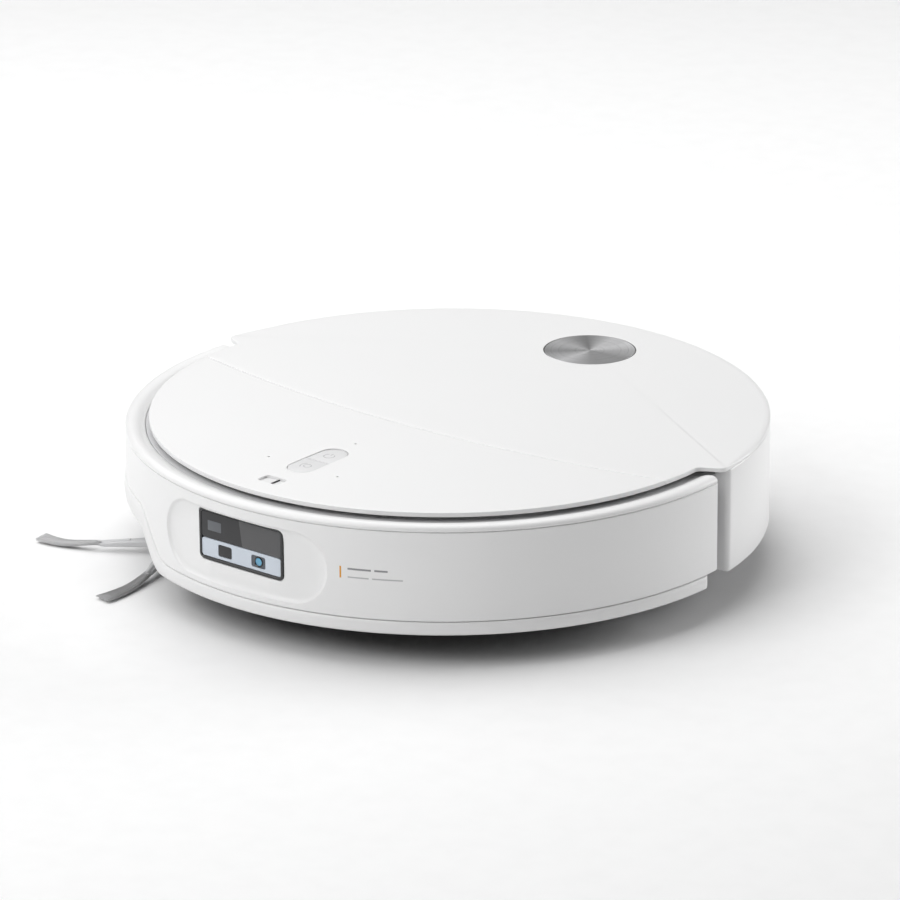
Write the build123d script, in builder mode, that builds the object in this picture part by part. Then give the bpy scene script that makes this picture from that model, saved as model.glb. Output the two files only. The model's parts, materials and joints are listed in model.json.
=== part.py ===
from build123d import *
import os
from math import cos, radians, sin

# Robot vacuum. Millimetres, +Z up. The origin is on the floor under the middle of the round body,
# the front with the bumper faces -Y, and the side brush is on the -X side.

# ---------------------------------------------------------------- overall sizes
BODY_DIA = 350.0
TOP_Z = 82.0  # middle of the crowned lid above the floor
CROWN_DROP = 1.4  # fall of the lid from its middle to its rim
GROUND_GAP = 9.5  # underside of the base above the floor
WALL = 2.5  # outer shells and the inner frame's wall
BASE_T = 3.0  # base plate
THIN = 2.0  # walls of ducts, wells and the dust bin
SEAM = 0.4  # visible seam between neighbouring shells
SLIP = 0.2  # clearance round a piece that drops into an opening
RUN = 0.05  # radial clearance of a shaft in its bearing

BODY_R = BODY_DIA / 2
RIM_Z = TOP_Z - CROWN_DROP
CROWN_R = (BODY_R**2 + CROWN_DROP**2) / (2 * CROWN_DROP)
BASE_TOP = GROUND_GAP + BASE_T

# ---------------------------------------------------------------- lid, deck and outer walls
LID_RIM_T = 2.2  # lid and deck thickness at the rim
LID_EDGE_R = 1.6
DECK_INSET = 14.0  # front deck and the lid's sides, inside the body's radius
SEAM_R = 635.0  # radius of the arc between lid and deck
SEAM_FRONT_Y = -37.0  # where that arc crosses the middle
STEP_Y = 14.0  # where the lid steps out to the full radius
STEP_R = 6.0
REAR_START_Y = 22.5  # front corners of the rear shell
SKIRT_Z = 20.5  # lower edge of the rear shell and top of the base's bevel
BEVEL_W = 25.0  # base's bevel and skirt, in from the body's radius
PLATE_T = 2.2  # top plate of the inner frame

DECK_R = BODY_R - DECK_INSET
BASE_FLAT_R = BODY_R - BEVEL_W
LID_BOTTOM = RIM_Z - LID_RIM_T
SHELL_TOP = LID_BOTTOM - SEAM
SEAM_CENTRE_Y = SEAM_FRONT_Y + SEAM_R

# ---------------------------------------------------------------- bumper
BUMPER_INSET = 1.0  # bumper face inside the body's radius
BUMPER_WALL = 3.0
BUMPER_TRAVEL = 3.5
BUMPER_END_Y = 13.0
BUMPER_BOTTOM = 18.5
STRIP_H = 6.7
STRIP_PROUD = 1.2
STRIP_END_Y = 3.0
TRIM_H = 3.5
SCOOP_W = 110.5
SCOOP_LOW = 29.0
SCOOP_HIGH = 69.0
SCOOP_DEPTH = 2.3
SCOOP_WALL = 2.2
NOTCH_ANGLE = 48.0  # side-brush notch, from the front towards -X
NOTCH_W = 112.0
NOTCH_TOP = 36.0
SWITCH_ANGLES = (230.0, 310.0)

BUMPER_R = BODY_R - BUMPER_INSET
BUMPER_IN_R = BUMPER_R - BUMPER_WALL
TRIM_SEAM_Z = SHELL_TOP - TRIM_H
SCOOP_R = BUMPER_R - SCOOP_DEPTH
FRAME_R = SCOOP_R - SCOOP_WALL - BUMPER_TRAVEL - 1.0
FRAME_IN_R = FRAME_R - WALL
PLATE_TOP = TRIM_SEAM_Z - 0.3
PLATE_BOTTOM = PLATE_TOP - PLATE_T

# ---------------------------------------------------------------- sensor module
MODULE_W = 57.6
MODULE_LOW = 38.8
MODULE_H = 28.1
MODULE_CORNER = 3.0
MODULE_RIM = 1.8
MODULE_FACE_Y = -(BODY_R - 5.7)
MODULE_DEPTH = 8.3
BEZEL_FLANGE_T = 2.0
MODULE_SPLIT_Z = 50.7  # between the dark window and the lower plate
EMITTER_X = -11.3
CAMERA_X = 11.8
EYE_W = 9.5
EYE_H = 6.5
EYE_Z = 45.4
LENS_R = 2.2

MODULE_MID_Z = MODULE_LOW + MODULE_H / 2
MODULE_BACK_Y = MODULE_FACE_Y + MODULE_DEPTH

# ---------------------------------------------------------------- buttons and status window
PILL_Y = -107.3
PILL_L = 40.4
PILL_W = 15.7
PILL_SPLIT = 0.5
PRESS = 0.6  # travel of a button
KEY_FLANGE_T = 1.2
STATUS_X = 0.5
STATUS_Y = -143.9
STATUS_W = 14.4
STATUS_H = 8.4
MIC_PLACES = ((-24.0, -119.0), (24.3, -119.8), (-0.4, -76.2))
MIC_R = 0.7

# ---------------------------------------------------------------- cover disc
DISC_Y = 123.8
DISC_R = 25.3
DISC_T = 1.2
DISC_GAP = 0.6

# ---------------------------------------------------------------- magnets that hold the lid
MAGNET_PLACES = ((-105, 100), (125, 62), (-128, 20), (128, 20))
MAGNET_R = 4.0
MAGNET_T = 2.0
PEG_R = 5.5
PEG_GAP = 0.2  # lid's pegs above the top plate

# ---------------------------------------------------------------- main brush
BRUSH_R = 21.5
BRUSH_FLOOR = 2.0  # fins above the floor
BRUSH_Y = 10.0
BRUSH_LEFT = 76.0
BRUSH_RIGHT = -80.0
FIN_L = 10.5
BRUSH_PIN_R = 3.0
BRUSH_DRIVE = 8.0  # square drive end
BRUSH_ROOM = 1.5  # fins to the housing's round cavity
HOUSING_END = 4.0
FIN_T = 1.8
FIN_COUNT = 6
GUARD_T = 3.0
DRIVE_BORE_R = 6.2
MOTOR_R = 12.0

BRUSH_CORE_R = BRUSH_R - FIN_L
BRUSH_Z = BRUSH_R + BRUSH_FLOOR
CAVITY_R = BRUSH_R + BRUSH_ROOM
HOUSING_HALF = CAVITY_R + 3.5
HOUSING_TOP = BRUSH_Z + CAVITY_R + THIN
HOUSING_BACK = BRUSH_Y + HOUSING_HALF

# ---------------------------------------------------------------- dust bin and suction path
DUCT_L = 7.5
DUCT_W = 56.0
DUCT_LOW = 32.0
DUCT_H = 12.0
DUCT_X = -8.0
BIN_RIGHT = -72.0
BIN_LEFT = 28.0
BIN_DEPTH = 84.0
BIN_GAP = 1.0
BIN_LID_T = 2.5
BIN_CORNER_R = 5.0
LATCH_TRAVEL = 2.0
LATCH_W = 24.0
LATCH_D = 10.0
LATCH_T = 1.5
FILTER_Y = (60.0, 120.0)
FILTER_Z = (22.0, 64.0)
FILTER_T = 5.0
FAN_X = 72.0
FAN_Y = 86.0
FAN_R = 34.0
FAN_TOP = 60.0
IMPELLER_R = 28.0

WELL_FRONT = HOUSING_BACK + DUCT_L
BIN_FRONT = WELL_FRONT + THIN + BIN_GAP
BIN_BACK = BIN_FRONT + BIN_DEPTH
BIN_FLOOR = BASE_TOP + 2 * THIN
BIN_LID_TOP = PLATE_BOTTOM - 0.5
BIN_TOP = BIN_LID_TOP - BIN_LID_T

# ---------------------------------------------------------------- drive wheels
WHEEL_R = 35.0
TYRE_T = 6.0
WHEEL_HUB_R = 8.0
TYRE_W = 20.0
WHEEL_X = 118.0  # middle of the tyre
ARM_T = 12.0
AXLE_R = 4.0
PIVOT_Z = 44.0
DRIVE_MOTOR_R = 12.0
BRACKET_T = 3.0
PIVOT_BRACKET = 7.0  # bracket behind the pivot
SPRING_R = 4.5
SPRING_WIRE = 1.2
SPRING_Y = -6.0

PIVOT_Y = -(WHEEL_R + DRIVE_MOTOR_R + 5.0)
ARM_IN_X = WHEEL_X - TYRE_W / 2 - 1.0 - ARM_T
TYRE_OUT_X = WHEEL_X + TYRE_W / 2
ARM_BIG_R = 20.0

# ---------------------------------------------------------------- caster
CASTER_Y = -128.0
CASTER_WHEEL_R = 13.0
CASTER_WHEEL_W = 14.0
CASTER_TRAIL = 5.0
CASTER_FORK_R = 20.5
CASTER_FORK_TOP = 31.0
CASTER_WELL_R = 22.0
CASTER_STEM_R = 4.0
CASTER_STEM_L = 11.0
CASTER_AXLE_R = 2.0

# ---------------------------------------------------------------- side brush
SIDE_X = -109.0
SIDE_Y = -99.0
SIDE_SWEEP = 82.0  # bristle tips from the spindle
SIDE_HUB_R = 10.0
SIDE_ARM_L = 41.0
SIDE_ARM_ANGLES = (-141.0, -59.0)
SIDE_LAG = -17.7  # bristle tips trail behind their arms, degrees
SPINDLE_R = 3.0
SIDE_MOTOR_R = 13.0

# ---------------------------------------------------------------- battery, boards and screws
BATTERY_X = 58.0
BATTERY_Y = (-100.0, -56.0)
BATTERY_TOP = 50.0
HATCH_MARGIN = 3.0
BOARD_T = 1.6
BOARD_GAP = 5.5  # main board above the brush housing
SCREW_R = 1.4
SCREW_HEAD_R = 3.0
SCREW_INSET = 6.0  # case screws in from the base's flat
SCREW_ANGLES = (20.0, 68.0, 130.0, 160.0, 252.0, 288.0)
BOSS_R = 4.0
CLIFF_INSET = 7.0  # cliff windows in from the base's flat
CLIFF_ANGLES = (212.0, 246.0, 294.0, 328.0, 62.0, 118.0)
CLIFF_W = 14.0
CLIFF_D = 7.0
CLIFF_T = 1.5
HATCH_SCREW_Y = -78.0
HATCH_SCREW_X = 5.0  # outside the battery's end
SPEAKER_X = 100.0
SPEAKER_Y = -88.0
SPEAKER_R = 14.0
CONTACT_X = 30.0
CONTACT_Y = -140.0
CONTACT_W = 12.0
CONTACT_D = 7.0
CONTACT_PROUD = 0.6

BOARD_Z = HOUSING_TOP + BOARD_GAP


# ---------------------------------------------------------------- helpers
def block(low, high, mode=Mode.ADD):
    """A box between two corners."""
    middle = [(a + b) / 2 for a, b in zip(low, high)]
    with Locations(tuple(middle)):
        Box(high[0] - low[0], high[1] - low[1], high[2] - low[2], mode=mode)


def drum(radius, x, y, low, high, mode=Mode.ADD):
    """An upright cylinder from one height to another."""
    with Locations((x, y, (low + high) / 2)):
        Cylinder(radius, high - low, mode=mode)


def rod(radius, low_x, high_x, y, z, mode=Mode.ADD):
    """A cylinder along X from one x to another."""
    with Locations(((low_x + high_x) / 2, y, z)):
        Cylinder(radius, high_x - low_x, rotation=(0, 90, 0), mode=mode)


def rounded(width, depth, radius, x, y, low, high, mode=Mode.ADD):
    """An upright plate with rounded corners, seen from above."""
    with BuildSketch(Plane.XY.offset(low)) as outline:
        with Locations((x, y)):
            RectangleRounded(width, depth, radius)
    extrude(outline.sketch, amount=high - low, mode=mode)


def rounded_front(width, height, radius, x, z, face_y, back_y, mode=Mode.ADD):
    """A plate with rounded corners, seen from the front, from face_y back to back_y."""
    with BuildSketch(Plane.XZ.offset(-back_y)) as outline:
        with Locations((x, z)):
            RectangleRounded(width, height, radius)
    extrude(outline.sketch, amount=back_y - face_y, mode=mode)


def front_half_only(limit_y):
    """Cut away everything behind limit_y."""
    block((-2 * BODY_R, limit_y, -1), (2 * BODY_R, 2 * BODY_R, 2 * TOP_Z), mode=Mode.SUBTRACT)


def finish(piece, name):
    """Label a finished piece and write its file."""
    piece.part.label = name
    export_step(piece.part, "parts/" + name + ".step")


os.makedirs("parts", exist_ok=True)

# ---------------------------------------------------------------- crowned envelope of the top
with BuildPart() as crown:
    with BuildSketch(Plane.XZ):
        with BuildLine():
            Line((0, 0), (0, TOP_Z))
            RadiusArc((0, TOP_Z), (BODY_R, RIM_Z), CROWN_R)
            Line((BODY_R, RIM_Z), (BODY_R, 0))
            Line((BODY_R, 0), (0, 0))
        make_face()
    revolve(axis=Axis.Z)

# ---------------------------------------------------------------- lift-off lid
with BuildPart() as top_cover:
    with BuildSketch(Plane.XY.offset(LID_BOTTOM)) as lid_outline:
        Circle(BODY_R)
        with Locations((0, STEP_Y - BODY_R)):
            Rectangle(3 * BODY_R, 2 * BODY_R, mode=Mode.SUBTRACT)
        Circle(DECK_R)
        with BuildSketch(Plane.XY.offset(LID_BOTTOM), mode=Mode.INTERSECT):
            with Locations((0, SEAM_CENTRE_Y)):
                Circle(SEAM_R - SEAM / 2)
        step_corners = lid_outline.vertices().filter_by_position(Axis.Y, STEP_Y - 1, STEP_Y + 1)
        fillet(step_corners, STEP_R)
    extrude(amount=TOP_Z)
    add(crown.part, mode=Mode.INTERSECT)
    top_rim = top_cover.faces().sort_by(Axis.Z)[-1].outer_wire().edges()
    fillet(top_rim, LID_EDGE_R)
    drum(DISC_R + DISC_GAP, 0, DISC_Y, RIM_Z - DISC_GAP, 2 * TOP_Z, mode=Mode.SUBTRACT)
    for peg_x, peg_y in MAGNET_PLACES:
        drum(PEG_R, peg_x, peg_y, PLATE_TOP + PEG_GAP, LID_BOTTOM)
        drum(MAGNET_R + RUN, peg_x, peg_y, PLATE_TOP, PLATE_TOP + PEG_GAP + MAGNET_T, mode=Mode.SUBTRACT)
finish(top_cover, "top_cover")

with BuildPart() as cover_magnets:
    for peg_x, peg_y in MAGNET_PLACES:
        drum(MAGNET_R, peg_x, peg_y, PLATE_TOP + PEG_GAP, PLATE_TOP + PEG_GAP + MAGNET_T)
finish(cover_magnets, "cover_magnets")

with BuildPart() as cover_disc:
    drum(DISC_R, 0, DISC_Y, RIM_Z - DISC_GAP, RIM_Z - DISC_GAP + DISC_T)
    chamfer(cover_disc.edges().group_by(Axis.Z)[-1], 0.3)
finish(cover_disc, "cover_disc")

# ---------------------------------------------------------------- fixed front deck
with BuildPart() as front_deck:
    with BuildSketch(Plane.XY.offset(LID_BOTTOM)):
        Circle(DECK_R)
        with Locations((0, SEAM_CENTRE_Y)):
            Circle(SEAM_R + SEAM / 2, mode=Mode.SUBTRACT)
    extrude(amount=TOP_Z)
    add(crown.part, mode=Mode.INTERSECT)
    deck_rim = front_deck.faces().sort_by(Axis.Z)[-1].outer_wire().edges()
    fillet(deck_rim, LID_EDGE_R * 0.6)
    with BuildSketch(Plane.XY.offset(PLATE_TOP)) as skirt:
        Circle(BASE_FLAT_R)
        Circle(BASE_FLAT_R - WALL, mode=Mode.SUBTRACT)
        with Locations((0, SEAM_CENTRE_Y)):
            Circle(SEAM_R + 4.0, mode=Mode.SUBTRACT)
    extrude(skirt.sketch, amount=LID_BOTTOM - PLATE_TOP)
    block((-18, -BODY_R, PLATE_TOP), (18, PILL_Y, LID_BOTTOM), mode=Mode.SUBTRACT)
    with BuildSketch(Plane.XY.offset(LID_BOTTOM - 1)) as pill_hole:
        with Locations((0, PILL_Y)):
            SlotOverall(PILL_L + 2 * SLIP, PILL_W + 2 * SLIP, rotation=90)
    extrude(pill_hole.sketch, amount=TOP_Z, mode=Mode.SUBTRACT)
    rounded(STATUS_W + 2 * SLIP, STATUS_H + 2 * SLIP, 2.2, STATUS_X, STATUS_Y,
            LID_BOTTOM - 1, TOP_Z, mode=Mode.SUBTRACT)
    with Locations(*[(x, y, TOP_Z) for x, y in MIC_PLACES]):
        Hole(MIC_R)
finish(front_deck, "front_deck")

key_low = LID_BOTTOM - SLIP - KEY_FLANGE_T
for label, side in (("power_button", 1), ("dock_button", -1)):
    with BuildPart() as button:
        with BuildSketch(Plane.XY.offset(key_low)) as flange:
            with Locations((0, PILL_Y)):
                SlotOverall(PILL_L + 2.0, PILL_W + 2.0, rotation=90)
        extrude(flange.sketch, amount=KEY_FLANGE_T)
        with BuildSketch(Plane.XY.offset(LID_BOTTOM - SLIP)) as key:
            with Locations((0, PILL_Y)):
                SlotOverall(PILL_L, PILL_W, rotation=90)
        extrude(key.sketch, amount=RIM_Z + 0.2 - LID_BOTTOM + SLIP)
        half_y = sorted((PILL_Y + side * PILL_SPLIT / 2, PILL_Y - side * PILL_L))
        block((-PILL_W, half_y[0], 0), (PILL_W, half_y[1], TOP_Z), mode=Mode.SUBTRACT)
        fillet(button.faces().sort_by(Axis.Z)[-1].edges(), 0.35)
    finish(button, label)

with BuildPart() as status_window:
    rounded(STATUS_W, STATUS_H, 2.0, STATUS_X, STATUS_Y, LID_BOTTOM, RIM_Z - 0.5)
    rounded(STATUS_W + 3, STATUS_H + 3, 2.0, STATUS_X, STATUS_Y, LID_BOTTOM - 1.2, LID_BOTTOM)
    rounded(STATUS_W - 4, STATUS_H - 4, 1.0, STATUS_X, STATUS_Y, PLATE_TOP + BOARD_T, LID_BOTTOM - 1.2)
finish(status_window, "status_window")

# ---------------------------------------------------------------- rear wall of the body
with BuildPart() as rear_shell:
    with BuildSketch(Plane.XY.offset(SKIRT_Z)) as wall_ring:
        Circle(BODY_R)
        Circle(BODY_R - WALL, mode=Mode.SUBTRACT)
    extrude(wall_ring.sketch, amount=SHELL_TOP - SKIRT_Z)
    for ledge_z in (SKIRT_Z, PLATE_TOP):
        with BuildSketch(Plane.XY.offset(ledge_z)) as ledge:
            Circle(BODY_R - WALL)
            Circle(FRAME_R, mode=Mode.SUBTRACT)
        extrude(ledge.sketch, amount=THIN)
    with BuildSketch(Plane.XY.offset(SKIRT_Z)) as end_walls:
        Circle(BODY_R - WALL)
        Circle(FRAME_R, mode=Mode.SUBTRACT)
        with Locations((0, REAR_START_Y + WALL / 2)):
            Rectangle(3 * BODY_R, WALL, mode=Mode.INTERSECT)
    extrude(end_walls.sketch, amount=SHELL_TOP - SKIRT_Z)
    block((-2 * BODY_R, -2 * BODY_R, 0), (2 * BODY_R, REAR_START_Y, 2 * TOP_Z), mode=Mode.SUBTRACT)
    corner_r = (BODY_R**2 - REAR_START_Y**2) ** 0.5
    corners = rear_shell.edges().filter_by(Axis.Z).filter_by(
        lambda edge: abs(abs(edge.center().X) - corner_r) < 0.5 and edge.center().Y < REAR_START_Y + 1
    )
    fillet(corners, WALL - 0.3)
    with BuildSketch(Plane.XY.offset(30)) as vents:
        with PolarLocations(BODY_R, 9, start_angle=40, angular_range=24):
            Rectangle(4 * WALL, 2.2)
    extrude(vents.sketch, amount=14, mode=Mode.SUBTRACT)
finish(rear_shell, "rear_shell")

# ---------------------------------------------------------------- base plate
drive_x = (ARM_IN_X - 0.5, TYRE_OUT_X + 4.5)
drive_y = (PIVOT_Y - DRIVE_MOTOR_R - 2.0, WHEEL_R + 3.0)
hatch_x = BATTERY_X + 9.0
hatch_y = (BATTERY_Y[0] - HATCH_MARGIN, BATTERY_Y[1] + HATCH_MARGIN)
hatch_top = GROUND_GAP + 1.8
with BuildPart() as base_plate:
    with BuildSketch(Plane.XZ):
        with BuildLine():
            Polyline((0, GROUND_GAP), (BASE_FLAT_R, GROUND_GAP), (FRAME_R, SKIRT_Z),
                     (FRAME_R - 1.4 * WALL, SKIRT_Z), (BASE_FLAT_R - 1, BASE_TOP),
                     (0, BASE_TOP), (0, GROUND_GAP))
        make_face()
    revolve(axis=Axis.Z)
    block((BRUSH_RIGHT - HOUSING_END - SLIP, BRUSH_Y - HOUSING_HALF - SLIP, 0),
          (BRUSH_LEFT + HOUSING_END, BRUSH_Y + HOUSING_HALF + SLIP, TOP_Z), mode=Mode.SUBTRACT)
    for side in (1, -1):
        opening_x = sorted((side * drive_x[0], side * drive_x[1]))
        block((opening_x[0], drive_y[0], 0), (opening_x[1], drive_y[1], TOP_Z), mode=Mode.SUBTRACT)
        for bracket_x in (drive_x[0] - BRACKET_T, drive_x[1]):
            ends = sorted((side * bracket_x, side * (bracket_x + BRACKET_T)))
            block((ends[0], PIVOT_Y - 8, BASE_TOP), (ends[1], PIVOT_Y + PIVOT_BRACKET, PIVOT_Z + 8))
            rod(AXLE_R + RUN, ends[0], ends[1], PIVOT_Y, PIVOT_Z, mode=Mode.SUBTRACT)
    drum(CASTER_WELL_R + THIN, 0, CASTER_Y, GROUND_GAP, CASTER_FORK_TOP + 1 + THIN)
    drum(2 * CASTER_STEM_R, 0, CASTER_Y, CASTER_FORK_TOP, CASTER_FORK_TOP + CASTER_STEM_L + 2)
    drum(CASTER_WELL_R, 0, CASTER_Y, 0, CASTER_FORK_TOP + 1, mode=Mode.SUBTRACT)
    drum(CASTER_STEM_R + RUN, 0, CASTER_Y, 0, TOP_Z, mode=Mode.SUBTRACT)
    drum(SIDE_MOTOR_R + 3, SIDE_X, SIDE_Y, GROUND_GAP, SKIRT_Z)
    drum(SPINDLE_R + 2, SIDE_X, SIDE_Y, 0, TOP_Z, mode=Mode.SUBTRACT)
    block((-BATTERY_X, BATTERY_Y[0], 0), (BATTERY_X, BATTERY_Y[1], BASE_TOP), mode=Mode.SUBTRACT)
    block((-hatch_x - SLIP, hatch_y[0] - SLIP, 0), (hatch_x + SLIP, hatch_y[1] + SLIP, hatch_top),
          mode=Mode.SUBTRACT)
    for side in (1, -1):
        drum(3.5, side * (BATTERY_X + HATCH_SCREW_X), HATCH_SCREW_Y, hatch_top, BASE_TOP + 6)
        drum(SCREW_R + RUN, side * (BATTERY_X + HATCH_SCREW_X), HATCH_SCREW_Y, 0, BASE_TOP + 5,
             mode=Mode.SUBTRACT)
    for angle in SCREW_ANGLES:
        screw_x = (BASE_FLAT_R - SCREW_INSET) * cos(radians(angle))
        screw_y = (BASE_FLAT_R - SCREW_INSET) * sin(radians(angle))
        drum(SCREW_R + 0.2, screw_x, screw_y, 0, TOP_Z, mode=Mode.SUBTRACT)
        drum(SCREW_HEAD_R + 0.3, screw_x, screw_y, 0, GROUND_GAP + 2.0, mode=Mode.SUBTRACT)
    for angle in CLIFF_ANGLES:
        with BuildSketch(Plane.XY.offset(GROUND_GAP)) as window:
            with PolarLocations(BASE_FLAT_R - CLIFF_INSET, 1, start_angle=angle):
                Rectangle(CLIFF_D + 2 * SLIP, CLIFF_W + 2 * SLIP)
        extrude(window.sketch, amount=CLIFF_T, mode=Mode.SUBTRACT)
    for side in (1, -1):
        block((side * CONTACT_X - CONTACT_W / 2 - SLIP, CONTACT_Y - CONTACT_D / 2 - SLIP, 0),
              (side * CONTACT_X + CONTACT_W / 2 + SLIP, CONTACT_Y + CONTACT_D / 2 + SLIP, GROUND_GAP + 1.5),
              mode=Mode.SUBTRACT)
    with Locations((SPEAKER_X, SPEAKER_Y, BASE_TOP)):
        with PolarLocations(7, 6):
            Hole(1.6)
finish(base_plate, "base_plate")

with BuildPart() as charging_contacts:
    for side in (1, -1):
        block((side * CONTACT_X - CONTACT_W / 2, CONTACT_Y - CONTACT_D / 2, GROUND_GAP - CONTACT_PROUD),
              (side * CONTACT_X + CONTACT_W / 2, CONTACT_Y + CONTACT_D / 2, GROUND_GAP + 1.5))
finish(charging_contacts, "charging_contacts")

with BuildPart() as case_screws:
    for angle in SCREW_ANGLES:
        screw_x = (BASE_FLAT_R - SCREW_INSET) * cos(radians(angle))
        screw_y = (BASE_FLAT_R - SCREW_INSET) * sin(radians(angle))
        drum(SCREW_HEAD_R, screw_x, screw_y, GROUND_GAP + 0.3, GROUND_GAP + 2.0)
        drum(SCREW_R, screw_x, screw_y, GROUND_GAP + 2.0, BASE_TOP + 10)
    for side in (1, -1):
        drum(2.6, side * (BATTERY_X + HATCH_SCREW_X), HATCH_SCREW_Y, GROUND_GAP - 0.6, GROUND_GAP)
        drum(SCREW_R, side * (BATTERY_X + HATCH_SCREW_X), HATCH_SCREW_Y, GROUND_GAP, BASE_TOP + 4)
finish(case_screws, "case_screws")

with BuildPart() as battery_hatch:
    block((-hatch_x, hatch_y[0], GROUND_GAP), (hatch_x, hatch_y[1], hatch_top))
    for side in (1, -1):
        drum(SCREW_R + 0.1, side * (BATTERY_X + HATCH_SCREW_X), HATCH_SCREW_Y, 0, TOP_Z, mode=Mode.SUBTRACT)
    fillet(battery_hatch.edges().filter_by(Axis.Z).group_by(SortBy.LENGTH)[-1], 0.4)
finish(battery_hatch, "battery_hatch")

with BuildPart() as battery_pack:
    block((-BATTERY_X + 0.5, BATTERY_Y[0] + 0.5, hatch_top),
          (BATTERY_X - 0.5, BATTERY_Y[1] - 0.5, BATTERY_TOP))
    fillet(battery_pack.edges().filter_by(Axis.Z), 4.0)
finish(battery_pack, "battery_pack")

with BuildPart() as speaker:
    drum(SPEAKER_R, SPEAKER_X, SPEAKER_Y, BASE_TOP, BASE_TOP + 8)
    drum(0.7 * SPEAKER_R, SPEAKER_X, SPEAKER_Y, BASE_TOP + 8, BASE_TOP + 18)
    drum(0.8 * SPEAKER_R, SPEAKER_X, SPEAKER_Y, BASE_TOP, BASE_TOP + 3, mode=Mode.SUBTRACT)
finish(speaker, "speaker")

# ---------------------------------------------------------------- inner frame
outlet_x = (FAN_X - 10.0, FAN_X + 16.0)
outlet_z = (30.0, 46.0)
inlet_y = (FAN_Y - 10.0, FAN_Y + 22.0)
inlet_z = (36.0, 56.0)
well_x = (BIN_RIGHT - BIN_GAP - THIN, BIN_LEFT + BIN_GAP + THIN)
well_y = (WELL_FRONT, BIN_BACK + BIN_GAP + THIN)
frame_front_y = MODULE_BACK_Y + BEZEL_FLANGE_T
with BuildPart() as inner_frame:
    with BuildSketch(Plane.XY.offset(SKIRT_Z)) as frame_ring:
        Circle(FRAME_R)
        Circle(FRAME_IN_R, mode=Mode.SUBTRACT)
    extrude(frame_ring.sketch, amount=PLATE_TOP - SKIRT_Z)
    block((-42, frame_front_y, 32), (42, frame_front_y + WALL, PLATE_BOTTOM))
    rounded_front(74, 37, 2, 0, MODULE_MID_Z, -BODY_R, frame_front_y, mode=Mode.SUBTRACT)
    rounded_front(50, 24, 2, 0, MODULE_MID_Z, -BODY_R, frame_front_y + 2 * WALL, mode=Mode.SUBTRACT)
    block((outlet_x[0] + THIN, BODY_R / 2, outlet_z[0] + THIN),
          (outlet_x[1] - THIN, 2 * BODY_R, outlet_z[1] - THIN),
          mode=Mode.SUBTRACT)
finish(inner_frame, "inner_frame")

with BuildPart() as top_plate:
    drum(FRAME_IN_R, 0, 0, PLATE_BOTTOM, PLATE_TOP)
    block((well_x[0] + THIN, well_y[0] + THIN, 0), (well_x[1] - THIN, well_y[1] - THIN, TOP_Z),
          mode=Mode.SUBTRACT)
finish(top_plate, "top_plate")

with BuildPart() as bin_well:
    block((well_x[0], well_y[0], BIN_FLOOR - THIN), (well_x[1], well_y[1], PLATE_BOTTOM))
    block((well_x[0] + THIN, well_y[0] + THIN, BIN_FLOOR), (well_x[1] - THIN, well_y[1] - THIN, TOP_Z),
          mode=Mode.SUBTRACT)
    block((DUCT_X - DUCT_W / 2 - THIN - SLIP, well_y[0] - 1, DUCT_LOW - THIN - SLIP),
          (DUCT_X + DUCT_W / 2 + THIN + SLIP, well_y[0] + 2 * THIN, DUCT_LOW + DUCT_H + THIN + SLIP),
          mode=Mode.SUBTRACT)
    block((well_x[1] - 2 * THIN, inlet_y[0] + THIN, inlet_z[0] + THIN),
          (well_x[1] + 1, inlet_y[1] - THIN, inlet_z[1] - THIN),
          mode=Mode.SUBTRACT)
finish(bin_well, "bin_well")

with BuildPart() as standoffs:
    for angle in SCREW_ANGLES:
        boss_x = (BASE_FLAT_R - SCREW_INSET) * cos(radians(angle))
        boss_y = (BASE_FLAT_R - SCREW_INSET) * sin(radians(angle))
        drum(BOSS_R, boss_x, boss_y, BASE_TOP, PLATE_BOTTOM)
        drum(SCREW_R + RUN, boss_x, boss_y, 0, BASE_TOP + 11, mode=Mode.SUBTRACT)
    for post_x in (-66, 66):
        for post_y in (-40, 30):
            drum(3.0, post_x, post_y, BOARD_Z + BOARD_T, PLATE_BOTTOM)
finish(standoffs, "standoffs")

# ---------------------------------------------------------------- bumper
scoop_mid_z = (SCOOP_LOW + SCOOP_HIGH) / 2
scoop_h = SCOOP_HIGH - SCOOP_LOW
strip_top = BUMPER_BOTTOM + STRIP_H
strip_in_r = BUMPER_R - 1.2
notch_plane = Plane(origin=(0, 0, 0), x_dir=(cos(radians(NOTCH_ANGLE)), -sin(radians(NOTCH_ANGLE)), 0),
                    z_dir=(-sin(radians(NOTCH_ANGLE)), -cos(radians(NOTCH_ANGLE)), 0))


def cut_notch(width, top):
    """Cut the side-brush notch, a low wide arch, out through the bumper's wall."""
    with BuildSketch(notch_plane) as arch:
        with BuildLine():
            Spline((-width / 2 - 14, -5), (-width / 2, 0.42 * top + 8), (-width / 2 + 16, top),
                   tangents=((0.4, 1), (1, 0)))
            Line((-width / 2 + 16, top), (width / 2 - 16, top))
            Spline((width / 2 - 16, top), (width / 2, 0.42 * top + 8), (width / 2 + 14, -5),
                   tangents=((1, 0), (0.4, -1)))
            Line((width / 2 + 14, -5), (-width / 2 - 14, -5))
        make_face()
    extrude(arch.sketch, amount=2 * BODY_R, mode=Mode.SUBTRACT)


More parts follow.
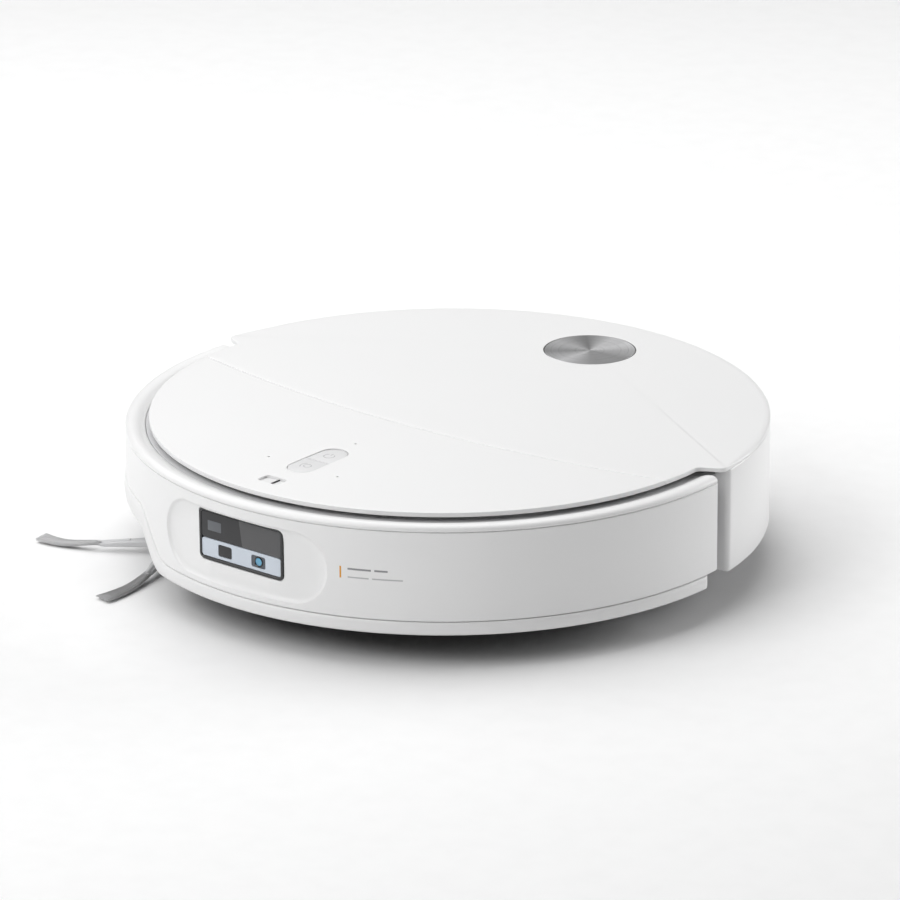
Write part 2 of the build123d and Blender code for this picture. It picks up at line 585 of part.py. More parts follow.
with BuildPart() as bumper_shell:
    with BuildSketch(Plane.XZ):
        with BuildLine():
            Polyline((BUMPER_IN_R, BUMPER_BOTTOM + 0.5), (strip_in_r, BUMPER_BOTTOM + 0.5),
                     (strip_in_r, strip_top + 0.3), (BUMPER_R, strip_top + 0.3), (BUMPER_R, TRIM_SEAM_Z),
                     (BUMPER_IN_R, TRIM_SEAM_Z), (BUMPER_IN_R, BUMPER_BOTTOM + 0.5))
        make_face()
    revolve(axis=Axis.Z)
    front_half_only(BUMPER_END_Y)
    with BuildSketch(Plane.XY.offset(SCOOP_LOW - 3)) as backing:
        Circle(BUMPER_IN_R)
        Circle(SCOOP_R - SCOOP_WALL, mode=Mode.SUBTRACT)
        with Locations((0, -BODY_R)):
            Rectangle(SCOOP_W + 10, BODY_R, mode=Mode.INTERSECT)
    extrude(backing.sketch, amount=scoop_h + 5)
    with BuildSketch(Plane.XZ.offset(BODY_R / 2)) as scoop:
        with Locations((0, scoop_mid_z)):
            SlotOverall(SCOOP_W, scoop_h)
    with BuildPart(mode=Mode.PRIVATE) as scoop_core:
        drum(SCOOP_R, 0, 0, 0, TOP_Z)
    with BuildPart(mode=Mode.PRIVATE) as scoop_cut:
        extrude(scoop.sketch, amount=BODY_R)
        add(scoop_core.part, mode=Mode.SUBTRACT)
    add(scoop_cut.part, mode=Mode.SUBTRACT)
    rounded_front(MODULE_W + 1.0, MODULE_H + 1.0, MODULE_CORNER + 0.5, 0, MODULE_MID_Z,
                  -2 * BODY_R, -BODY_R / 2, mode=Mode.SUBTRACT)
    cut_notch(NOTCH_W, NOTCH_TOP)
finish(bumper_shell, "bumper_shell")

with BuildPart() as bumper_soft_strip:
    with BuildSketch(Plane.XZ):
        with BuildLine():
            Line((strip_in_r, BUMPER_BOTTOM), (BUMPER_R, BUMPER_BOTTOM))
            ThreePointArc((BUMPER_R, BUMPER_BOTTOM), (BUMPER_R + STRIP_PROUD, BUMPER_BOTTOM + STRIP_H / 2),
                          (BUMPER_R, strip_top))
            Line((BUMPER_R, strip_top), (strip_in_r, strip_top))
            Line((strip_in_r, strip_top), (strip_in_r, BUMPER_BOTTOM))
        make_face()
    revolve(axis=Axis.Z)
    front_half_only(STRIP_END_Y)
    cut_notch(NOTCH_W, NOTCH_TOP)
finish(bumper_soft_strip, "bumper_soft_strip")

with BuildPart() as bumper_top_ring:
    with BuildSketch(Plane.XZ):
        with BuildLine():
            Polyline((BUMPER_R - 3.5, SHELL_TOP - 0.1), (DECK_R + 2, SHELL_TOP - 1.6),
                     (DECK_R - 3, SHELL_TOP - 1.8), (DECK_R - 3, TRIM_SEAM_Z + 0.4),
                     (BUMPER_IN_R, TRIM_SEAM_Z + 0.4), (BUMPER_IN_R, TRIM_SEAM_Z),
                     (BUMPER_R, TRIM_SEAM_Z), (BUMPER_R, SHELL_TOP - 1.7))
            ThreePointArc((BUMPER_R, SHELL_TOP - 1.7), (BUMPER_R - 0.6, SHELL_TOP - 0.5),
                          (BUMPER_R - 2.0, SHELL_TOP))
            Line((BUMPER_R - 2.0, SHELL_TOP), (BUMPER_R - 3.5, SHELL_TOP - 0.1))
        make_face()
    revolve(axis=Axis.Z)
    front_half_only(BUMPER_END_Y - 2.0)
finish(bumper_top_ring, "bumper_top_ring")

with BuildPart() as bumper_switches:
    with BuildSketch(Plane.XY.offset(44)) as switches:
        Circle(FRAME_R + 3.0)
        Circle(FRAME_R, mode=Mode.SUBTRACT)
        with BuildSketch(Plane.XY.offset(44), mode=Mode.INTERSECT):
            for angle in SWITCH_ANGLES:
                with PolarLocations(FRAME_R, 1, start_angle=angle):
                    Rectangle(30, 14)
    extrude(switches.sketch, amount=13)
finish(bumper_switches, "bumper_switches")

# ---------------------------------------------------------------- sensor module
window_face = MODULE_FACE_Y + 0.3
with BuildPart() as sensor_bezel:
    rounded_front(MODULE_W, MODULE_H, MODULE_CORNER, 0, MODULE_MID_Z, MODULE_FACE_Y, MODULE_BACK_Y)
    rounded_front(72, 35, 2, 0, MODULE_MID_Z, MODULE_BACK_Y, MODULE_BACK_Y + BEZEL_FLANGE_T)
    rounded_front(MODULE_W - 2 * MODULE_RIM, MODULE_H - 2 * MODULE_RIM, 1.5, 0, MODULE_MID_Z,
                  MODULE_FACE_Y - 1, MODULE_FACE_Y + 3.0, mode=Mode.SUBTRACT)
    for eye_x in (EMITTER_X, CAMERA_X):
        rounded_front(EYE_W + 1, EYE_H + 1, 1, eye_x, EYE_Z, MODULE_FACE_Y, MODULE_BACK_Y + 3,
                      mode=Mode.SUBTRACT)
finish(sensor_bezel, "sensor_bezel")

inner_w = MODULE_W - 2 * MODULE_RIM - 2 * SLIP
inner_low = MODULE_LOW + MODULE_RIM + SLIP
inner_high = MODULE_LOW + MODULE_H - MODULE_RIM - SLIP
with BuildPart() as infrared_windows:
    rounded_front(inner_w, inner_high - MODULE_SPLIT_Z - SLIP, 1, 0,
                  (inner_high + MODULE_SPLIT_Z + SLIP) / 2, window_face, MODULE_FACE_Y + 3.0)
    rounded_front(EYE_W - 2 * SLIP, EYE_H - 2 * SLIP, 0.8, EMITTER_X, EYE_Z, window_face + 0.6,
                  MODULE_BACK_Y + 0.5)
    for angle in CLIFF_ANGLES:
        with BuildSketch(Plane.XY.offset(GROUND_GAP)) as window:
            with PolarLocations(BASE_FLAT_R - CLIFF_INSET, 1, start_angle=angle):
                Rectangle(CLIFF_D, CLIFF_W)
        extrude(window.sketch, amount=CLIFF_T)
finish(infrared_windows, "infrared_windows")

with BuildPart() as sensor_plate:
    rounded_front(inner_w, MODULE_SPLIT_Z - SLIP - inner_low, 1, 0,
                  (MODULE_SPLIT_Z - SLIP + inner_low) / 2, window_face + 0.2, MODULE_FACE_Y + 3.0)
    for eye_x in (EMITTER_X, CAMERA_X):
        rounded_front(EYE_W, EYE_H, 1, eye_x, EYE_Z, -2 * BODY_R, -100, mode=Mode.SUBTRACT)
finish(sensor_plate, "sensor_plate")

with BuildPart() as camera_barrel:
    rounded_front(EYE_W - 2 * SLIP, EYE_H - 2 * SLIP, 0.8, CAMERA_X, EYE_Z, window_face + 0.6,
                  MODULE_BACK_Y + 0.5)
    with BuildSketch(Plane.XZ.offset(-window_face - 2.0)) as barrel_bore:
        with Locations((CAMERA_X, EYE_Z)):
            Circle(LENS_R + 0.05)
    extrude(barrel_bore.sketch, amount=5, mode=Mode.SUBTRACT)
finish(camera_barrel, "camera_barrel")

with BuildPart() as camera_lens:
    with BuildSketch(Plane.XZ.offset(-window_face - 2.0)):
        with Locations((CAMERA_X, EYE_Z)):
            Circle(LENS_R)
    extrude(amount=1.2)
    fillet(camera_lens.faces().sort_by(Axis.Y)[0].edges(), 0.9)
finish(camera_lens, "camera_lens")

with BuildPart() as signal_boards:
    rounded_front(48, 22, 1, 0, MODULE_MID_Z, MODULE_BACK_Y + BEZEL_FLANGE_T,
                  MODULE_BACK_Y + BEZEL_FLANGE_T + BOARD_T)
    block((-15, WALL + 1 - BASE_FLAT_R, PLATE_TOP), (15, PILL_Y + 24, PLATE_TOP + BOARD_T))
    for switch_y in (PILL_Y - PILL_L / 4, PILL_Y + PILL_L / 4):
        drum(2.2, 0, switch_y, PLATE_TOP + BOARD_T, key_low - PRESS - 0.02)
finish(signal_boards, "signal_boards")

# ---------------------------------------------------------------- main brush
with BuildPart() as brush_housing:
    block((BRUSH_RIGHT - HOUSING_END, BRUSH_Y - HOUSING_HALF, GROUND_GAP + 0.5),
          (BRUSH_LEFT + HOUSING_END - SLIP, HOUSING_BACK, HOUSING_TOP))
    rod(CAVITY_R, BRUSH_RIGHT, BRUSH_LEFT, BRUSH_Y, BRUSH_Z, mode=Mode.SUBTRACT)
    block((BRUSH_RIGHT, BRUSH_Y - CAVITY_R, 0), (BRUSH_LEFT, BRUSH_Y + CAVITY_R, BRUSH_Z),
          mode=Mode.SUBTRACT)
    rod(8.0, BRUSH_RIGHT - HOUSING_END, BRUSH_RIGHT, BRUSH_Y, BRUSH_Z, mode=Mode.SUBTRACT)
    rod(DRIVE_BORE_R + 1, BRUSH_LEFT, BRUSH_LEFT + HOUSING_END, BRUSH_Y, BRUSH_Z, mode=Mode.SUBTRACT)
    block((DUCT_X - DUCT_W / 2, BRUSH_Y, DUCT_LOW), (DUCT_X + DUCT_W / 2, HOUSING_BACK, DUCT_LOW + DUCT_H),
          mode=Mode.SUBTRACT)
finish(brush_housing, "brush_housing")

with BuildPart() as brush_bearing:
    rod(8.0 - RUN, BRUSH_RIGHT - HOUSING_END, BRUSH_RIGHT, BRUSH_Y, BRUSH_Z)
    rod(BRUSH_PIN_R + RUN, BRUSH_RIGHT - HOUSING_END + 1, BRUSH_RIGHT, BRUSH_Y, BRUSH_Z, mode=Mode.SUBTRACT)
finish(brush_bearing, "brush_bearing")

with BuildPart() as brush_core:
    rod(BRUSH_CORE_R, BRUSH_RIGHT + 1.5, BRUSH_LEFT - 1.5, BRUSH_Y, BRUSH_Z)
    rod(BRUSH_PIN_R, BRUSH_RIGHT - HOUSING_END + 1.3, BRUSH_RIGHT + 1.5, BRUSH_Y, BRUSH_Z)
    half = BRUSH_DRIVE / 2
    block((BRUSH_LEFT - 1.5, BRUSH_Y - half, BRUSH_Z - half),
          (BRUSH_LEFT + 10, BRUSH_Y + half, BRUSH_Z + half))
finish(brush_core, "brush_core")

fin_low = BRUSH_RIGHT + 3.5
fin_high = BRUSH_LEFT - 3.5
with BuildPart() as brush_fins:
    with BuildSketch(Plane(origin=(fin_low, BRUSH_Y, BRUSH_Z), x_dir=(0, 1, 0), z_dir=(1, 0, 0))):
        Circle(BRUSH_CORE_R + 2.0)
        with PolarLocations((BRUSH_R + BRUSH_CORE_R) / 2, FIN_COUNT):
            Rectangle(BRUSH_R - BRUSH_CORE_R, FIN_T)
        Circle(BRUSH_CORE_R, mode=Mode.SUBTRACT)
    extrude(amount=fin_high - fin_low)
    with BuildSketch(Plane(origin=(fin_low, BRUSH_Y, BRUSH_Z), x_dir=(0, 1, 0), z_dir=(1, 0, 0))) as reach:
        Circle(BRUSH_R)
    extrude(reach.sketch, amount=fin_high - fin_low, mode=Mode.INTERSECT)
finish(brush_fins, "brush_fins")

guard_low = GROUND_GAP - 1.0
chord_half = (BRUSH_R**2 - (BRUSH_Z - guard_low - GUARD_T) ** 2) ** 0.5 + 0.8
with BuildPart() as brush_guard:
    block((BRUSH_RIGHT + SLIP, BRUSH_Y - CAVITY_R + SLIP, guard_low),
          (BRUSH_LEFT - SLIP, BRUSH_Y + CAVITY_R - SLIP, guard_low + GUARD_T))
    block((BRUSH_RIGHT + 3.0, BRUSH_Y - chord_half, 0), (BRUSH_LEFT - 3.0, BRUSH_Y + chord_half, TOP_Z),
          mode=Mode.SUBTRACT)
finish(brush_guard, "brush_guard")

gear_x = (BRUSH_LEFT + HOUSING_END, ARM_IN_X - 3.0)
brush_motor_y = BRUSH_Y - HOUSING_HALF - MOTOR_R - 3.5
gear_front_y = max(brush_motor_y - MOTOR_R - 0.5, PIVOT_Y + PIVOT_BRACKET + 3.0)
with BuildPart() as brush_gearbox:
    block((gear_x[0], gear_front_y, BASE_TOP + 1.5),
          (gear_x[1], BRUSH_Y + 21, BRUSH_Z + 23.5))
    fillet(brush_gearbox.edges().filter_by(Axis.X), 5)
    rod(DRIVE_BORE_R, gear_x[0], gear_x[1] - 2, BRUSH_Y, BRUSH_Z, mode=Mode.SUBTRACT)
finish(brush_gearbox, "brush_gearbox")

with BuildPart() as brush_motor:
    rod(MOTOR_R, gear_x[0] - 36, gear_x[0], brush_motor_y, BASE_TOP + 1.5 + MOTOR_R)
    rod(0.4 * MOTOR_R, gear_x[0] - 39, gear_x[0] - 36, brush_motor_y, BASE_TOP + 1.5 + MOTOR_R)
finish(brush_motor, "brush_motor")

with BuildPart() as main_board:
    block((-75, -46, BOARD_Z), (75, 34, BOARD_Z + BOARD_T))
    for chip_x, chip_y, chip_w, chip_d, chip_h in (
        (-45, -10, 16, 16, 1.6), (-12, -22, 12, 12, 1.6), (20, -12, 24, 24, 2.0), (48, 10, 14, 10, 6.0),
        (-30, 18, 30, 6, 6.0), (10, 22, 22, 6, 6.0), (-62, 8, 6, 20, 6.0), (62, -20, 6, 18, 6.0),
    ):
        top = BOARD_Z + BOARD_T
        block((chip_x - chip_w / 2, chip_y - chip_d / 2, top),
              (chip_x + chip_w / 2, chip_y + chip_d / 2, top + chip_h))
finish(main_board, "main_board")

# ---------------------------------------------------------------- suction path and dust bin
with BuildPart() as suction_duct:
    block((DUCT_X - DUCT_W / 2 - THIN, HOUSING_BACK, DUCT_LOW - THIN),
          (DUCT_X + DUCT_W / 2 + THIN, BIN_FRONT - 0.2, DUCT_LOW + DUCT_H + THIN))
    block((DUCT_X - DUCT_W / 2, HOUSING_BACK - 1, DUCT_LOW),
          (DUCT_X + DUCT_W / 2, BIN_FRONT + 1, DUCT_LOW + DUCT_H), mode=Mode.SUBTRACT)
finish(suction_duct, "suction_duct")

with BuildPart() as bin_body:
    block((BIN_RIGHT, BIN_FRONT, BIN_FLOOR), (BIN_LEFT, BIN_BACK, BIN_TOP))
    fillet(bin_body.edges().filter_by(Axis.Z), BIN_CORNER_R)
    block((BIN_RIGHT + THIN, BIN_FRONT + THIN, BIN_FLOOR + THIN), (BIN_LEFT - THIN, BIN_BACK - THIN, TOP_Z),
          mode=Mode.SUBTRACT)
    block((DUCT_X - DUCT_W / 2, BIN_FRONT - 1, DUCT_LOW),
          (DUCT_X + DUCT_W / 2, BIN_FRONT + THIN + 1, DUCT_LOW + DUCT_H),
          mode=Mode.SUBTRACT)
    block((BIN_LEFT - THIN - 1, FILTER_Y[0] + 4, FILTER_Z[0] + 4),
          (BIN_LEFT + 1, FILTER_Y[1] - 4, FILTER_Z[1] - 4),
          mode=Mode.SUBTRACT)
finish(bin_body, "bin_body")

latch_mid_x = (BIN_LEFT + BIN_RIGHT) / 2
latch_y = BIN_FRONT + 8.0
with BuildPart() as bin_lid:
    block((BIN_RIGHT, BIN_FRONT, BIN_TOP), (BIN_LEFT, BIN_BACK - BIN_LID_T / 2, BIN_LID_TOP))
    fillet(bin_lid.edges().filter_by(Axis.Z).group_by(Axis.Y)[0], BIN_CORNER_R)
    rod(BIN_LID_T / 2, BIN_RIGHT, BIN_LEFT, BIN_BACK - BIN_LID_T / 2, BIN_LID_TOP - BIN_LID_T / 2)
    block((latch_mid_x - LATCH_W / 2 - SLIP, latch_y - SLIP, BIN_LID_TOP - LATCH_T),
          (latch_mid_x + LATCH_W / 2 + SLIP, latch_y + LATCH_D + LATCH_TRAVEL + SLIP, TOP_Z),
         mode=Mode.SUBTRACT)
finish(bin_lid, "bin_lid")

with BuildPart() as bin_latch:
    block((latch_mid_x - LATCH_W / 2, latch_y, BIN_LID_TOP - LATCH_T),
          (latch_mid_x + LATCH_W / 2, latch_y + LATCH_D, BIN_LID_TOP + 0.3))
    for rib_y in (latch_y + 2.5, latch_y + 5.0, latch_y + 7.5):
        block((latch_mid_x - LATCH_W / 2 + 3, rib_y - 0.5, BIN_LID_TOP),
              (latch_mid_x + LATCH_W / 2 - 3, rib_y + 0.5, TOP_Z),
              mode=Mode.SUBTRACT)
finish(bin_latch, "bin_latch")

filter_x = (BIN_LEFT - THIN - FILTER_T, BIN_LEFT - THIN)
with BuildPart() as filter_frame:
    block((filter_x[0], FILTER_Y[0], FILTER_Z[0]), (filter_x[1], FILTER_Y[1], FILTER_Z[1]))
    block((filter_x[0] - 1, FILTER_Y[0] + 3, FILTER_Z[0] + 3),
          (filter_x[1] + 1, FILTER_Y[1] - 3, FILTER_Z[1] - 3),
          mode=Mode.SUBTRACT)
finish(filter_frame, "filter_frame")

pleat_pitch = 4.0
pleat_count = int((FILTER_Y[1] - FILTER_Y[0] - 6) / pleat_pitch)
pleat_start = (FILTER_Y[0] + FILTER_Y[1] - pleat_count * pleat_pitch) / 2
with BuildPart() as filter_pleats:
    with BuildSketch(Plane.XY.offset(FILTER_Z[0] + 3)):
        with BuildLine():
            front_zigzag = [(filter_x[0] + 0.6 + 2.4 * (i % 2), pleat_start + i * pleat_pitch / 2)
                            for i in range(2 * pleat_count + 1)]
            back_zigzag = [(x + 1.0, y) for x, y in reversed(front_zigzag)]
            Polyline(*front_zigzag, *back_zigzag, close=True)
        make_face()
    extrude(amount=FILTER_Z[1] - FILTER_Z[0] - 6)
finish(filter_pleats, "filter_pleats")

inlet_low = (well_x[1], inlet_y[0], inlet_z[0])
inlet_high = (FAN_X - FAN_R + 6, inlet_y[1], inlet_z[1])
outlet_low = (outlet_x[0], FAN_Y + FAN_R - 10, outlet_z[0])
outlet_high = (outlet_x[1], well_y[1], outlet_z[1])
with BuildPart() as fan_housing:
    drum(FAN_R, FAN_X, FAN_Y, BASE_TOP, FAN_TOP)
    block(inlet_low, inlet_high)
    block(outlet_low, outlet_high)
    drum(FAN_R - THIN, FAN_X, FAN_Y, BASE_TOP + THIN, FAN_TOP - THIN, mode=Mode.SUBTRACT)
    block((inlet_low[0] - 1, inlet_low[1] + THIN, inlet_low[2] + THIN),
          (inlet_high[0] + 6, inlet_high[1] - THIN, inlet_high[2] - THIN), mode=Mode.SUBTRACT)
    block((outlet_low[0] + THIN, outlet_low[1] - 8, outlet_low[2] + THIN),
          (outlet_high[0] - THIN, outlet_high[1] + 1, outlet_high[2] - THIN), mode=Mode.SUBTRACT)
finish(fan_housing, "fan_housing")

with BuildPart() as fan_motor:
    drum(15.0, FAN_X, FAN_Y, BASE_TOP + THIN, 37.0)
    drum(2.0 + RUN, FAN_X, FAN_Y, 28.0, 38.0, mode=Mode.SUBTRACT)
    fillet(fan_motor.edges().group_by(Axis.Z)[-1].sort_by(SortBy.LENGTH)[-1], 2.0)
finish(fan_motor, "fan_motor")

with BuildPart() as fan_impeller:
    drum(IMPELLER_R, FAN_X, FAN_Y, 39.0, 40.5)
    drum(6.0, FAN_X, FAN_Y, 40.5, 53.0)
    drum(2.0, FAN_X, FAN_Y, 29.0, 39.0)
    with BuildSketch(Plane.XY.offset(40.5)) as blades:
        with Locations((FAN_X, FAN_Y)):
            with PolarLocations(16.5, 11):
                Rectangle(22.0, 1.2, rotation=28)
    extrude(blades.sketch, amount=12)
finish(fan_impeller, "fan_impeller")

# ---------------------------------------------------------------- drive wheels
arm_slope = (PIVOT_Z + DRIVE_MOTOR_R - WHEEL_R - ARM_BIG_R) / PIVOT_Y
arm_top_at_spring = WHEEL_R + ARM_BIG_R + arm_slope * (SPRING_Y - SPRING_R)
for name, side in (("left", 1), ("right", -1)):
    arm_x = sorted((side * ARM_IN_X, side * (ARM_IN_X + ARM_T)))
    stub_x = sorted((side * (ARM_IN_X + ARM_T), side * TYRE_OUT_X))
    motor_x = sorted((side * (ARM_IN_X + ARM_T), side * (TYRE_OUT_X + 2.0)))
    pin_in = sorted((side * (drive_x[0] - BRACKET_T - 0.5), side * ARM_IN_X))
    pin_out = sorted((side * (TYRE_OUT_X + 2.0), side * (drive_x[1] + BRACKET_T + 0.5)))
    with BuildPart() as drive_unit:
        with BuildSketch(Plane(origin=(arm_x[0], 0, 0), x_dir=(0, 1, 0), z_dir=(1, 0, 0))) as arm:
            with BuildLine():
                Polyline((PIVOT_Y, PIVOT_Z + DRIVE_MOTOR_R), (0, WHEEL_R + ARM_BIG_R),
                         (0, WHEEL_R - ARM_BIG_R), (PIVOT_Y, PIVOT_Z - DRIVE_MOTOR_R), close=True)
            make_face()
            with Locations((PIVOT_Y, PIVOT_Z)):
                Circle(DRIVE_MOTOR_R)
            with Locations((0, WHEEL_R)):
                Circle(ARM_BIG_R)
        extrude(arm.sketch, amount=ARM_T)
        rod(AXLE_R, stub_x[0], stub_x[1], 0, WHEEL_R)
        rod(DRIVE_MOTOR_R, motor_x[0], motor_x[1], PIVOT_Y, PIVOT_Z)
        rod(AXLE_R, pin_in[0], pin_in[1], PIVOT_Y, PIVOT_Z)
        rod(AXLE_R, pin_out[0], pin_out[1], PIVOT_Y, PIVOT_Z)
    finish(drive_unit, name + "_drive_unit")

    wheel_x = sorted((side * (WHEEL_X - TYRE_W / 2), side * TYRE_OUT_X))
    rim_x = (wheel_x[0] + 0.5, wheel_x[1] - 0.5)
    with BuildPart() as wheel:
        rod(WHEEL_R - TYRE_T, rim_x[0], rim_x[1], 0, WHEEL_R)
        dish_x = sorted((side * (WHEEL_X + 3.0), side * (TYRE_OUT_X + 1)))
        rod(WHEEL_R - TYRE_T - 4, dish_x[0], dish_x[1], 0, WHEEL_R, mode=Mode.SUBTRACT)
        hub_x = sorted((side * (WHEEL_X + 3.0), side * (TYRE_OUT_X - 0.5)))
        rod(WHEEL_HUB_R, hub_x[0], hub_x[1], 0, WHEEL_R)
        rod(AXLE_R + RUN, -BODY_R, BODY_R, 0, WHEEL_R, mode=Mode.SUBTRACT)
    finish(wheel, name + "_wheel")

    with BuildPart() as tyre:
        with BuildSketch(Plane(origin=(wheel_x[0], 0, WHEEL_R), x_dir=(0, 1, 0), z_dir=(1, 0, 0))):
            Circle(WHEEL_R)
            with PolarLocations(WHEEL_R, 24, start_angle=7.5):
                Rectangle(3.2, 3.6, mode=Mode.SUBTRACT)
            Circle(WHEEL_R - TYRE_T, mode=Mode.SUBTRACT)
        extrude(amount=TYRE_W)
        for rib_x in (wheel_x[0] + 0.3 * TYRE_W, wheel_x[0] + 0.7 * TYRE_W):
            rod(WHEEL_R - 0.4, rib_x - 1.2, rib_x + 1.2, 0, WHEEL_R)
        rod(WHEEL_R - TYRE_T, wheel_x[0], wheel_x[1], 0, WHEEL_R, mode=Mode.SUBTRACT)
    finish(tyre, name + "_tyre")

    spring_x = side * (ARM_IN_X + ARM_T / 2)
    spring_low = max(WHEEL_R + ARM_BIG_R, arm_top_at_spring) + 0.3
    with BuildPart() as drive_spring:
        drum(SPRING_R, spring_x, SPRING_Y, spring_low, PLATE_BOTTOM)
        drum(SPRING_R - SPRING_WIRE, spring_x, SPRING_Y, spring_low, PLATE_BOTTOM, mode=Mode.SUBTRACT)
    finish(drive_spring, name + "_spring")

# ---------------------------------------------------------------- caster
caster_axle_y = CASTER_Y + CASTER_TRAIL
with BuildPart() as caster_fork:
    drum(CASTER_FORK_R, 0, CASTER_Y, GROUND_GAP + 0.5, CASTER_FORK_TOP)
    fillet(caster_fork.edges().group_by(Axis.Z)[0], 1.0)
    drum(CASTER_STEM_R, 0, CASTER_Y, CASTER_FORK_TOP, CASTER_FORK_TOP + CASTER_STEM_L)
    slot_half = CASTER_WHEEL_R + 1.0
    block((-CASTER_WHEEL_W / 2 - 0.6, caster_axle_y - slot_half, 0),
          (CASTER_WHEEL_W / 2 + 0.6, caster_axle_y + slot_half, CASTER_WHEEL_R + slot_half),
         mode=Mode.SUBTRACT)
    rod(CASTER_AXLE_R + 0.02, -18, 18, caster_axle_y, CASTER_WHEEL_R, mode=Mode.SUBTRACT)
finish(caster_fork, "caster_fork")

with BuildPart() as caster_axle:
    rod(CASTER_AXLE_R, -15, 15, caster_axle_y, CASTER_WHEEL_R)
finish(caster_axle, "caster_axle")

with BuildPart() as caster_wheel:
    rod(CASTER_WHEEL_R, -CASTER_WHEEL_W / 2, CASTER_WHEEL_W / 2, caster_axle_y, CASTER_WHEEL_R)
    fillet(caster_wheel.edges(), 2.0)
    rod(CASTER_AXLE_R + RUN, -CASTER_WHEEL_W, CASTER_WHEEL_W, caster_axle_y, CASTER_WHEEL_R,
        mode=Mode.SUBTRACT)
finish(caster_wheel, "caster_wheel")

# ---------------------------------------------------------------- side brush
hub_low = 4.2
hub_high = GROUND_GAP - 0.6
arm_low = 5.4
motor_low = SKIRT_Z
with BuildPart() as side_motor:
    drum(SIDE_MOTOR_R, SIDE_X, SIDE_Y, motor_low, motor_low + 16)
    drum(0.75 * SIDE_MOTOR_R, SIDE_X, SIDE_Y, motor_low + 16, motor_low + 38)
    drum(SPINDLE_R + RUN, SIDE_X, SIDE_Y, motor_low, motor_low + 11, mode=Mode.SUBTRACT)
finish(side_motor, "side_motor")

with BuildPart() as side_hub:
    drum(SIDE_HUB_R, SIDE_X, SIDE_Y, hub_low, hub_high)
    drum(SPINDLE_R, SIDE_X, SIDE_Y, hub_high, motor_low + 10)
    for angle in SIDE_ARM_ANGLES:
        turned = Plane.XY.offset(arm_low).move(Location((SIDE_X, SIDE_Y, 0), (0, 0, angle)))
        with BuildSketch(turned) as spoke:
            with BuildLine():
                Polyline((0, -4), (SIDE_ARM_L, -2.2), (SIDE_ARM_L, 2.2), (0, 4), close=True)
            make_face()
        extrude(spoke.sketch, amount=3.0)
    drum(1.5 + RUN, SIDE_X, SIDE_Y, 0, hub_high + 3, mode=Mode.SUBTRACT)
finish(side_hub, "side_hub")

with BuildPart() as side_screw:
    drum(3.2, SIDE_X, SIDE_Y, hub_low - 1.4, hub_low)
    drum(1.5, SIDE_X, SIDE_Y, hub_low, hub_high + 2)
finish(side_screw, "side_screw")

with BuildPart() as side_bristles:
    for angle in SIDE_ARM_ANGLES:
        tip = radians(SIDE_LAG)
        mid = radians(SIDE_LAG * 0.35)
        turned = Plane.XY.offset(2.4).move(Location((SIDE_X, SIDE_Y, 0), (0, 0, angle)))
        with BuildSketch(turned) as bundle:
            with BuildLine():
                tip_y = SIDE_SWEEP * sin(tip)
                tip_x = SIDE_SWEEP * cos(tip)
                mid_y = 60 * sin(mid)
                mid_x = 60 * cos(mid)
                ThreePointArc((34, -1.6), (mid_x, mid_y - 2.0), (tip_x - 4, tip_y - 4))
                Line((tip_x - 4, tip_y - 4), (tip_x, tip_y + 5))
                ThreePointArc((tip_x, tip_y + 5), (mid_x, mid_y + 2.5), (34, 1.6))
                Line((34, 1.6), (34, -1.6))
            make_face()
        extrude(bundle.sketch, amount=3.0)
finish(side_bristles, "side_bristles")
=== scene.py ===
import json
import random
from math import acos, asin, atan2, cos, hypot, pi, radians, sin, sqrt, tau

import bmesh
import bpy
from mathutils import Matrix, Vector


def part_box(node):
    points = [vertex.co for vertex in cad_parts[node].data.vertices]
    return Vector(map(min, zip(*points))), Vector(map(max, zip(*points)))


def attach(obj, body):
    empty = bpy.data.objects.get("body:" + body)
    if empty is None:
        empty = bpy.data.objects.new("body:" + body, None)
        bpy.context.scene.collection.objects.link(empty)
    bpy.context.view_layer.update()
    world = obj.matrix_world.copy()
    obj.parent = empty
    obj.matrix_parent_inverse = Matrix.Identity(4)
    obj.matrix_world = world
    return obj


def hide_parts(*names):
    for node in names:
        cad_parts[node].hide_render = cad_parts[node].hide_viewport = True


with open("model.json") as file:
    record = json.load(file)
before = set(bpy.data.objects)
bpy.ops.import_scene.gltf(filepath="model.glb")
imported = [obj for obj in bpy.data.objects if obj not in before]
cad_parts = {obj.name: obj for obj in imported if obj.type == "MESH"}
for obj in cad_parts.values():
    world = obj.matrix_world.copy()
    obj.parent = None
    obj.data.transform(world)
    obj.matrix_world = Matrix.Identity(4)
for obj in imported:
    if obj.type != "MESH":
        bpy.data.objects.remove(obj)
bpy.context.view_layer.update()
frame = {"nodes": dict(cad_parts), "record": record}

# Robot vacuum: the looks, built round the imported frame. Metres, +Z up, the front faces -Y.
# Angles round the body are measured from the front towards +X.

MM = 0.001

# ---------------------------------------------------------------- sizes read from the frame
lid_low, lid_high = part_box("top_cover")
deck_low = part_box("front_deck")[0]
ring_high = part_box("bumper_top_ring")[1]
wall_low, wall_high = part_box("bumper_shell")
strip_low, strip_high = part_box("bumper_soft_strip")
rear_low, rear_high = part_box("rear_shell")
disc_low, disc_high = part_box("cover_disc")
bezel_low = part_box("sensor_bezel")[0]
power_low, power_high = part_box("power_button")
dock_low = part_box("dock_button")[0]
status_low, status_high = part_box("status_window")
base_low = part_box("base_plate")[0]
screw_low, screw_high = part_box("side_screw")

